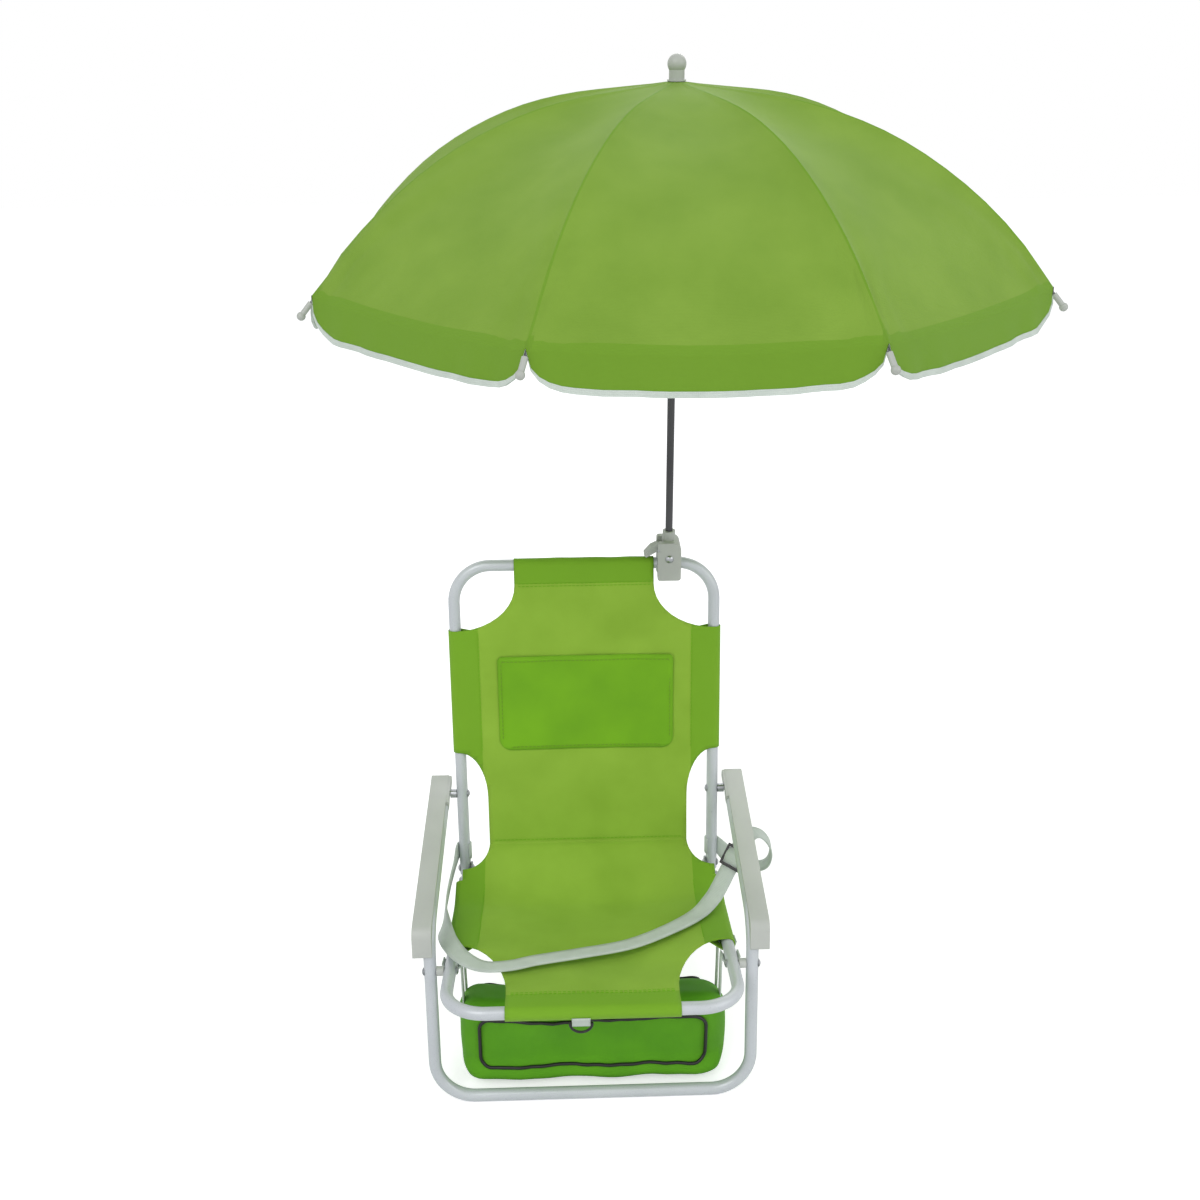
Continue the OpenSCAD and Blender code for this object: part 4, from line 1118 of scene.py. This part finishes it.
@dataclass(frozen=True)
class Canopy:
    """The parasol's cloth, cut along the middle between ribs, so that each part turns with its rib.

    Lengths are in millimetres from the pole, heights above the ground.
    """

    pole_y: float = 7.511
    inner: float = 4.6
    edge: float = 364.0
    rib_in: Pair = (13.0, 981.0)
    straight: float = 72.0
    slope: float = math.radians(6.0)
    bend: float = math.radians(42.0)
    rib_r: float = 392.0
    lift: float = 2.4
    crown_r: float = 14.5
    thickness: float = 0.7
    hem: float = 33.0
    tape: float = 4.6
    sag: float = 15.0
    edge_sag: float = 5.0
    rows: int = 30
    hem_rows: int = 7
    columns: int = 26
    keep: float = 0.16
    taut_from: float = 230.0
    pull_reach: float = 95.0
    pull_high: float = 3.2
    bulge: float = 1.1
    seam_high: float = 0.7
    cap_height: float = 984.9

    @property
    def bend_start(self) -> Pair:
        """Distance from the pole and height of the place where a rib starts to bend."""
        run, fall = self.straight * math.cos(self.slope), self.straight * math.sin(self.slope)
        return self.rib_in[0] + run, self.rib_in[1] - fall

    def rib_height(self, r: float) -> tuple[float, float]:
        """The line of a rib.

        Args:
            r: Distance from the pole.

        Returns:
            Its height and its slope there.
        """
        r0, z0 = self.bend_start
        middle = (r0 - self.rib_r * math.sin(self.slope), z0 - self.rib_r * math.cos(self.slope))
        out = self.slope + self.bend
        r1 = middle[0] + self.rib_r * math.sin(out)
        if r < r0:
            return self.rib_in[1] - (r - self.rib_in[0]) * math.tan(self.slope), self.slope
        if r < r1:
            past = r - middle[0]
            return middle[1] + math.sqrt(self.rib_r**2 - past**2), math.asin(past / self.rib_r)
        return middle[1] + self.rib_r * math.cos(out) - (r - r1) * math.tan(out), out

    def turn(self, k: int) -> float:
        """The angle of rib k round the pole."""
        return -HALF_SECTOR - 2 * HALF_SECTOR * (k - 1)

    def place(self, k: int, share: float, down: float, out: float = 0.0) -> Vector:
        """A point of the part on rib k.

        Args:
            k: Number of the rib.
            share: From -0.5 to 0.5 of the way to the rib on either side.
            down: From 0 at the crown to 1 at the edge, and to 2 at the lower end of the hem.
            out: How far it stands out, in millimetres.

        Returns:
            The point in the shared frame, in metres.
        """
        a = self.turn(k)
        b = a - math.copysign(2 * HALF_SECTOR, share)
        w = abs(share)
        r = self.inner + (self.edge - self.inner) * min(down, 1.0)
        x = r * ((1 - w) * math.cos(a) + w * math.cos(b))
        y = r * ((1 - w) * math.sin(a) + w * math.sin(b))
        height, slope = self.rib_height(r)
        z = height + (self.lift + out) / math.cos(slope)
        z = max(z, self.cap_height + out) if r < self.crown_r else z
        fall = smooth_step((r - 40) / 120)
        taut = smooth_step((r - self.taut_from) / (self.edge - self.taut_from))
        z -= (self.sag + (self.edge_sag - self.sag) * taut) * 4 * w * (1 - w) * fall
        past = self.edge - r
        side = 2 * r * math.tan(HALF_SECTOR) * w
        reach = math.hypot(past, side) + 1e-6
        pull = math.exp(-reach / self.pull_reach) * smooth_step(reach / 26.0)
        angle = math.atan2(side, past + 1e-6)
        near = smooth_step((0.5 - w) / 0.3)
        z += self.pull_high * pull * near * math.sin(11.0 * angle + 1.3 * k + (0.8 if share > 0 else 0.0))
        z += self.bulge * fall * noise.noise(Vector((x * 0.012, y * 0.012, 2.0)))
        z += self.seam_high * smooth_step((4.2 - side) / 1.4)
        spot = Vector((x, y, z))
        if down > 1.0:
            d = Vector((x, y, 0.0)).normalized()
            drop = self.hem * math.sqrt(max(0.0, 1.0 - (1.0 - min(1.0, w / 0.15)) ** 2.2))
            ripple = 1.6 * math.sin(w * 37.0 + 2.0 * k) * smooth_step(w / 0.1) * near
            spot += (down - 1.0) * (Vector((0.2 * d.x, 0.2 * d.y, -1.0)) * drop + ripple * d)
            spot += out * d
        return Vector((spot.x, spot.y + self.pole_y, spot.z)) * MM

    def part(
        self, name: str, k: int, span: Pair, rows: int, thickness: float, material: Material
    ) -> tuple[Piece, float]:
        """One part of the cloth.

        Args:
            name: Name of the part.
            k: Number of its rib.
            span: The two shares of the way down that it lies between.
            rows: Number of its faces along.
            thickness: Its thickness, in millimetres.
            material: Its material.

        Returns:
            The part and its area.
        """
        low, high = span
        bm = bmesh.new()
        bmesh.ops.create_grid(bm, x_segments=self.columns, y_segments=rows, size=0.5)
        spots: dict[int, Vector] = {}
        for vert in bm.verts:
            u, v = vert.co.x, vert.co.y + 0.5
            share = math.copysign(abs(2 * u) ** 1.35 / 2, u) if u else 0.0
            down = low + (high - low) * v
            spots[vert.index] = self.place(k, share, down)
            flat = (self.inner + (self.edge - self.inner) * min(down, 1.0)) * MM
            fall = flat + max(down - 1.0, 0.0) * self.hem * MM
            vert.co = (2 * flat * math.tan(HALF_SECTOR) * share, fall, 0.0)
        bend_cloth(bm, lambda vert: spots[vert.index])
        bmesh.ops.dissolve_degenerate(bm, dist=1e-6, edges=bm.edges[:])
        area = sum(f.calc_area() for f in bm.faces)
        piece = thicken(new_piece(name, bm, material), thickness * MM)
        smooth_by_angle(piece, 50.0)
        return piece, area

    def build(self, paint: Paint) -> None:
        """Makes the eight parts of the cloth with their tapes and seams.

        Args:
            paint: The materials.
        """
        for k in range(1, 9):
            ends = 1.0 + (self.hem - self.tape) / self.hem
            cloth, area = self.part(
                f"canopy_part_{k}", k, (0.0, 2.0), self.rows + self.hem_rows, self.thickness,
                paint[Slot.CANOPY],
            )
            tape, _ = self.part(f"hem_tape_{k}", k, (ends, 2.01), 2, 2.2, paint[Slot.WEBBING])
            for piece, slot in ((cloth, Slot.CANOPY), (tape, Slot.WEBBING)):
                fit(piece, f"rib_arm_{k}", slot)
                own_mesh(piece)
            if k == 1:
                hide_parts("canopy")


# The bag, the strap and the ring's tab


def round_tube(
    place: Callable[[float, float], Vector], s: float, side: int, r: float, angles: Sequence[int]
) -> list[Vector]:
    """Points round a side tube of the seat or the back.

    Args:
        place: Chair.on_seat or Chair.on_back.
        s: Distance along the tube.
        side: -1 for the left and 1 for the right.
        r: Distance from the tube's middle.
        angles: The points' angles in degrees.

    Returns:
        The points.
    """
    points = []
    for turn in [math.radians(a) for a in angles]:
        spot = place(s, r * math.sin(turn))
        points.append(at(side * (CHAIR.seat_half + r * math.cos(turn)), spot.x, spot.y))
    return points


@dataclass(frozen=True)
class Bag:
    """The pouch under the seat: a full soft box with piped edges, hung by four tapes."""

    half: float = 142.0
    front: float = 22.0
    back: float = 96.0
    low: float = 6.0
    high: float = 108.0
    round_r: float = 23.0
    cuts: int = 17
    droop: float = 26.0
    bulge: float = 15.0
    piping: Pair = (120.0, 12.0)
    piping_r: float = 0.0019
    front_ring: float = 30.0
    rear_ring: float = 47.0
    tapes: Pair = (21.0, 52.0)

    def place(self, p: Vector) -> Vector:
        """Moves a point of a unit cube to the bag's skin.

        Args:
            p: The point, from -0.5 to 0.5 each way.

        Returns:
            The point in the shared frame, in metres.
        """
        size = Vector((self.half, (self.back - self.front) / 2, (self.high - self.low) / 2))
        full = Vector((2 * p.x * size.x, 2 * p.y * size.y, 2 * p.z * size.z))
        core = Vector([max(-(s - self.round_r), min(s - self.round_r, c)) for c, s in zip(full, size)])
        way = full - core
        spot = core + (way.normalized() * self.round_r if way.length > 1e-6 else way)
        top = smooth_step((spot.z + 10.0) / size.z)
        spot.z += -3.5 * top * math.cos(math.pi * spot.x / self.half / 1.3)
        spot.z -= self.droop * top * smooth_step((spot.y + size.y) / (2 * size.y))
        lower = smooth_step((-spot.z - 22.0) / 24.0)
        spot.y -= self.bulge * lower * smooth_step((size.y - spot.y) / (2 * size.y))
        fine = Vector((spot.x * 0.07, spot.y * 0.05, spot.z * 0.02))
        wrinkle = 3.0 * noise.noise(spot * 0.022) + 1.6 * noise.noise(fine)
        sink = 1.8 * (1 - (spot.x / self.half) ** 2) * (1 - abs(spot.z) / size.z)
        n = way.normalized() if way.length > 1e-6 else Vector((0, -1, 0))
        spot += n * (wrinkle - sink)
        return at(spot.x, spot.y + (self.front + self.back) / 2, spot.z + (self.low + self.high) / 2)

    def build(self, paint: Paint) -> None:
        """Makes the bag, its piping and its tapes.

        Args:
            paint: The materials.
        """
        bm = bmesh.new()
        bmesh.ops.create_cube(bm, size=1.0)
        bmesh.ops.subdivide_edges(bm, edges=bm.edges[:], cuts=self.cuts, use_grid_fill=True)
        layer = bm.loops.layers.uv.new("cloth")
        size = Vector((2 * self.half, self.back - self.front, self.high - self.low)) * MM
        for face in bm.faces:
            drop = max(range(3), key=lambda i: abs(face.normal[i]))
            for loop in face.loops:
                loop[layer].uv = [loop.vert.co[i] * size[i] for i in range(3) if i != drop]
        for vert in bm.verts:
            vert.co = self.place(vert.co.copy())
        bag = new_piece("bag", bm, paint[Slot.BAG])
        sub = bag.modifiers.new("smooth", "SUBSURF")
        sub.levels = sub.render_levels = 1
        bag = settle(bag)
        pieces = [(bag, Slot.BAG)]
        for side, depth, height in (("front", -0.5, self.front_ring), ("rear", 0.5, self.rear_ring)):
            ring = self.ring(depth, height)
            cord = cord_line(f"bag_piping_{side}", ring, self.piping_r, paint[Slot.BLACK])
            pieces.append((cord, Slot.BLACK))
        for side in (-1, 1):
            for n, s in enumerate(self.tapes, 1):
                pieces.append((self.tape(side, n, s, paint[Slot.WEBBING]), Slot.WEBBING))
        for piece, slot in pieces:
            fit(piece, "seat", slot)
            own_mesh(piece)
        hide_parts("storage_bag")

    def ring(self, depth: float, h: float) -> list[Vector]:
        """The line of the piping round the front or the rear.

        Args:
            depth: -0.5 for the front and 0.5 for the rear.
            h: Half its height, in millimetres.

        Returns:
            Its points.
        """
        w, r = self.piping
        corners: list[Pair] = []
        for cx, cz, a0 in ((w - r, h - r, 0), (r - w, h - r, 90), (r - w, r - h, 180), (w - r, r - h, 270)):
            corners += quarter((cx, cz), r, r, a0, a0 + 90, 6)
        path = []
        for (x0, z0), (x1, z1) in zip(corners, corners[1:] + corners[:1]):
            count = max(1, round(math.dist((x0, z0), (x1, z1)) / 6))
            for i in range(count):
                x, z = x0 + (x1 - x0) * i / count, z0 + (z1 - z0) * i / count
                unit = Vector((x / self.half / 2, depth, z / (self.high - self.low)))
                path.append(self.place(unit) + Vector((0, math.copysign(0.0007, depth), 0)))
        return path

    def tape(self, side: int, n: int, s: float, material: Material) -> Piece:
        """One tape from under the seat tube to the bag.

        Args:
            side: -1 for the left and 1 for the right.
            n: Its number on that side.
            s: Its place along the seat tube.
            material: Its material.

        Returns:
            The tape.
        """
        r, heights = 9.3, (112.0, 86.0, 62.0)
        points = round_tube(CHAIR.on_seat, s, side, r, (0, -45, -90, -135, -180))
        spot = CHAIR.on_seat(s)
        inside = side * (CHAIR.seat_half - r)
        points[-1:] = [at(inside, spot.x, z) for z in (spot.y - 3.0, *heights)]
        side_name = "right" if side > 0 else "left"
        route = Route(points, [Vector((0, CHAIR.seat_dir.x, 0))] * len(points))
        return ribbon(f"bag_tape_{side_name}_{n}", route, 0.014, 0.0014, material)


@dataclass(frozen=True)
class Straps:
    """The carrying strap with its buckle, and the tab that holds the ring."""

    width: float = 19.0
    thickness: float = 1.7
    wrap_r: float = 7.7
    wrap_at: float = 22.5
    buckle_low: Vector = field(default_factory=lambda: Vector((153, 156, 170)))
    buckle_high: Vector = field(default_factory=lambda: Vector((171, 172, 199)))

    def wrap(self, side: int) -> list[Vector]:
        """The turn of the strap round the back tube's lower end."""
        turn = (-225, -180, -135, -90, -45, 0)
        return round_tube(CHAIR.on_back, self.wrap_at, side, self.wrap_r, turn)

    def route(self) -> Route:
        """The strap's line, from the left of the chair to the right.

        Returns:
            The line.
        """
        up = Vector((0, CHAIR.back_dir.x, CHAIR.back_dir.y))
        listed = [
            ((-158, 221, 138), (0.1, 0, 1)), ((-161, 200, 133), (0.1, 0, 1)),
            ((-162, 165, 136), (0.1, 0, 1)), ((-161, 130, 143), (0.2, 0, 1)),
            ((-159, 108, 149), (0.5, 0, 0.9)), ((-156, 86, 154), (0.8, 0.3, 0.5)),
            ((-149, 63, 159), (0.8, 0.7, 0.1)), ((-134, 36, 164), (0.5, 1, -0.1)),
            ((-112, 18, 167), (0.2, 1, -0.2)), ((-84, 18, 167), (0, 1, -0.21)),
            ((-58, 27, 165), (-0.1, 1, -0.21)), ((-13, 39, 162), (-0.1, 1, -0.21)),
            ((39, 54, 159), (-0.2, 1, -0.21)), ((82, 82, 153), (-0.4, 1, -0.21)),
            ((117, 112, 148), (-0.6, 1, -0.1)), ((136, 136, 149), (-0.8, 0.8, 0.1)),
            ((146, 148, 157), (-0.8, 0.7, 0.15)),
            *self.threaded(),
            ((181, 183, 200), (-0.7, 0.7, 0.1)), ((191, 190, 199), (-0.5, 0.8, 0.2)),
            ((203, 196, 187), (-0.2, 1, 0.3)), ((211, 200, 168), (0, 1, 0.3)),
            ((209, 205, 146), (0.2, 1, 0.2)), ((197, 212, 134), (0.5, 0.9, 0.2)),
            ((180, 220, 133), (0.5, 0.6, 0.7)), ((167, 227, 138), (0.3, 0.3, 0.9)),
        ]
        points = self.wrap(-1) + [at(*p) for p, _ in listed] + list(reversed(self.wrap(1)))
        across = [up] * 6 + [Vector(a) for _, a in listed] + [up] * 6
        return Route(points, across)

    def threaded(self) -> list[tuple[Vector, Vector]]:
        """The strap's way through the buckle: behind its end bars and over its middle bar.

        Returns:
            Its points, each with the way across it.
        """
        low, high, across = self.buckle_low, self.buckle_high, Vector((-0.8, 0.6, 0.17))
        along = (high - low).normalized()
        out = along.cross(across).normalized()
        under, over = -5.2, -0.1
        ways = [(-17.0, -4.2), (-12.0, under), (-9.4, under), (-2.0, over), (2.0, over)]
        ways += [(9.4, under), (12.0, under)]
        return [((low + high) / 2 + s * along + h * out, across) for s, h in ways]

    def build(self, paint: Paint) -> None:
        """Makes the strap, its buckle and the ring's tab.

        Args:
            paint: The materials.
        """
        route = self.route()
        strap = ribbon("strap", route, self.width * MM, self.thickness * MM, paint[Slot.WEBBING])
        buckle = softened("strap_buckle", "buckle", 0.0007, lambda p: True, paint[Slot.BLACK])
        tab = self.tab(paint[Slot.WEBBING])
        fit(buckle, "seat", Slot.BLACK)
        fit(tab, "seat", Slot.WEBBING, "ring_tab")
        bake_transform(strap)
        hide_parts("shoulder_strap")

    def tab(self, material: Material) -> Piece:
        """The tab: a short webbing from under the seat's front, through the ring and back.

        Args:
            material: Its material.

        Returns:
            The tab.
        """
        bar = CHAIR.on_seat(-CHAIR.seat_front)
        middle, tube_r, ring_r = -12, 8.9, 2.5

        def arc(down: float, r: float, angles: Sequence[int]) -> list[Vector]:
            """Points on a circle below the front bar."""
            turns = [math.radians(a) for a in angles]
            return [at(middle, bar.x + r * math.cos(t), bar.y - down + r * math.sin(t)) for t in turns]

        points = arc(0.0, tube_r, (-20, -50, -72)) + [at(middle, bar.x + 1.4, bar.y - 12.0)]
        points += arc(16.0, ring_r, (20, -30, -90, -150, -200))
        points += [at(middle, bar.x - 1.4, bar.y - 12.0)] + arc(0.0, tube_r, (-108, -140, -170))
        route = Route(points, [Vector((1, 0, 0))] * len(points))
        return ribbon("ring_tab_webbing", route, 0.018, 0.0013, material)


# The plastic mouldings and the CAD nodes that stay


def dress_frame(paint: Paint) -> None:
    """Gives every CAD node its material, and rounds the edges of the mouldings.

    Args:
        paint: The materials.
    """
    for part in FRAME["record"]["subparts"]:
        data = FRAME["nodes"][part["node"]].data
        data.materials.clear()
        data.materials.append(paint[Slot(part["material_slot"])])
    arm_faces = (163.5, 183.5)
    for side, node in ((1, "armrest_right"), (-1, "armrest_left")):
        planes = [(side * x - POLE_SIDE) * MM for x in arm_faces]
        moulding = softened(
            node, f"{node}_moulding", 0.005,
            lambda p, planes=planes: min(abs(p.x - q) for q in planes) < 2e-5, paint[Slot.ARM],
        )
        fit(moulding, "front_frame", Slot.ARM)
    clamp = softened("clamp_body", "clamp_moulding", 0.0012, lambda p: p.z < 0.5165, paint[Slot.WHITE])
    fit(clamp, "back", Slot.WHITE)


# Floor, lamps and camera


class Studio:
    """A pale floor, soft lamps and the camera at the photograph's place."""

    def build(self) -> None:
        """Sets the stage."""
        self.camera()
        self.floor()
        self.world()
        for name, place, size, power in (
            ("key", (-1.3, -1.9, 2.6), 1.6, 26.0),
            ("fill", (1.9, -1.2, 1.6), 1.6, 12.0),
            ("rim", (0.4, 2.0, 2.0), 1.4, 12.0),
        ):
            lamp = bpy.data.lights.new(name, "AREA")
            lamp.size = size
            lamp.energy = power
            obj = add_object(name, lamp)
            obj.location = place
            aim = Vector((0.0, 0.0, 0.45)) - Vector(place)
            obj.rotation_euler = aim.to_track_quat("-Z", "Y").to_euler()

    def camera(self) -> None:
        """Puts the camera where the photograph was taken from."""
        yaw, pitch, roll = -0.031, 0.452, -0.005
        focal_px, frame_px, shift_px = 1256.7, 1200.0, (-10.6, 1.5)
        eye = Vector((-0.1049, -1.2766, 1.0626))
        flat = math.cos(pitch)
        forward = Vector((-math.sin(yaw) * flat, math.cos(yaw) * flat, -math.sin(pitch)))
        level = Vector((math.cos(yaw), math.sin(yaw), 0.0))
        above = level.cross(forward)
        right = math.cos(roll) * level + math.sin(roll) * above
        up = -math.sin(roll) * level + math.cos(roll) * above
        data = bpy.data.cameras.new("camera")
        data.sensor_width = 36.0
        data.lens = 36.0 * focal_px / frame_px
        data.shift_x, data.shift_y = (shift / frame_px for shift in shift_px)
        data.clip_end = 20.0
        obj = add_object("camera", data)
        turn = Matrix((right, up, -forward)).transposed().to_4x4()
        obj.matrix_world = Matrix.Translation(eye) @ turn
        bpy.context.scene.camera = obj

    def floor(self) -> None:
        """Lays a pale floor."""
        bm = bmesh.new()
        bmesh.ops.create_grid(bm, x_segments=1, y_segments=1, size=6.0)
        s = Shader("pale_floor")
        cloud = s.range(s.cloud(s.place(), 3.0), 0.0, 1.0)
        s.set(Base_Color=s.mixed(cloud, (0.955, 0.957, 0.96), (0.945, 0.948, 0.952)))
        s.set(Roughness=0.8, Emission_Color=(1.0, 1.0, 1.0, 1.0))
        seen = s.node("ShaderNodeLightPath").outputs["Is Camera Ray"]
        s.set(Emission_Strength=s.math("MULTIPLY", seen, 0.5))
        new_piece("floor", bm, s.material, smooth=False)

    def world(self) -> None:
        """Lights the scene evenly and shows white behind it."""
        world = bpy.data.worlds.new("studio")
        world.use_nodes = True
        tree = world.node_tree
        bpy.context.scene.world = world
        plain, white = tree.nodes["Background"], tree.nodes.new("ShaderNodeBackground")
        shades = ((plain, (0.98, 0.985, 1.0, 1.0), 0.62), (white, (1.0, 1.0, 1.0, 1.0), 1.0))
        for shade, colour, strength in shades:
            shade.inputs[0].default_value = colour
            shade.inputs[1].default_value = strength
        path = tree.nodes.new("ShaderNodeLightPath")
        either = tree.nodes.new("ShaderNodeMath")
        either.operation = "MAXIMUM"
        mix = tree.nodes.new("ShaderNodeMixShader")
        for output, socket in (
            (path.outputs["Is Camera Ray"], either.inputs[0]),
            (path.outputs["Is Glossy Ray"], either.inputs[1]),
            (either.outputs[0], mix.inputs[0]),
            (plain.outputs[0], mix.inputs[1]),
            (white.outputs[0], mix.inputs[2]),
            (mix.outputs[0], tree.nodes["World Output"].inputs[0]),
        ):
            tree.links.new(output, socket)
        bpy.context.scene.view_settings.view_transform = "Standard"


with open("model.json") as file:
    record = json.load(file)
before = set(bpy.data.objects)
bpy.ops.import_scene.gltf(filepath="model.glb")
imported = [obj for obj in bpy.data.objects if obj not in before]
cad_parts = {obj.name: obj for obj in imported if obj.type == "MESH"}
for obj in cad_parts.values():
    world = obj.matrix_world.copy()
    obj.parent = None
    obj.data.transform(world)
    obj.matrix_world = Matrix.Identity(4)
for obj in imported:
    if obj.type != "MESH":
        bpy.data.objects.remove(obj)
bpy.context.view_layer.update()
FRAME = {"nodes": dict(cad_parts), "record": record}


def main() -> None:
    """Builds the pieces in order and reports each."""
    logging.basicConfig(level=logging.INFO, format="%(message)s")
    Studio().build()
    log.info("stage set")
    paint = finishes()
    dress_frame(paint)
    log.info("frame dressed")
    SlingSheet().build(paint)
    log.info("sling sewn")
    Canopy().build(paint)
    log.info("canopy stretched")
    Bag().build(paint)
    log.info("bag hung")
    Straps().build(paint)
    log.info("straps routed")


if __name__ == "__main__":
    main()
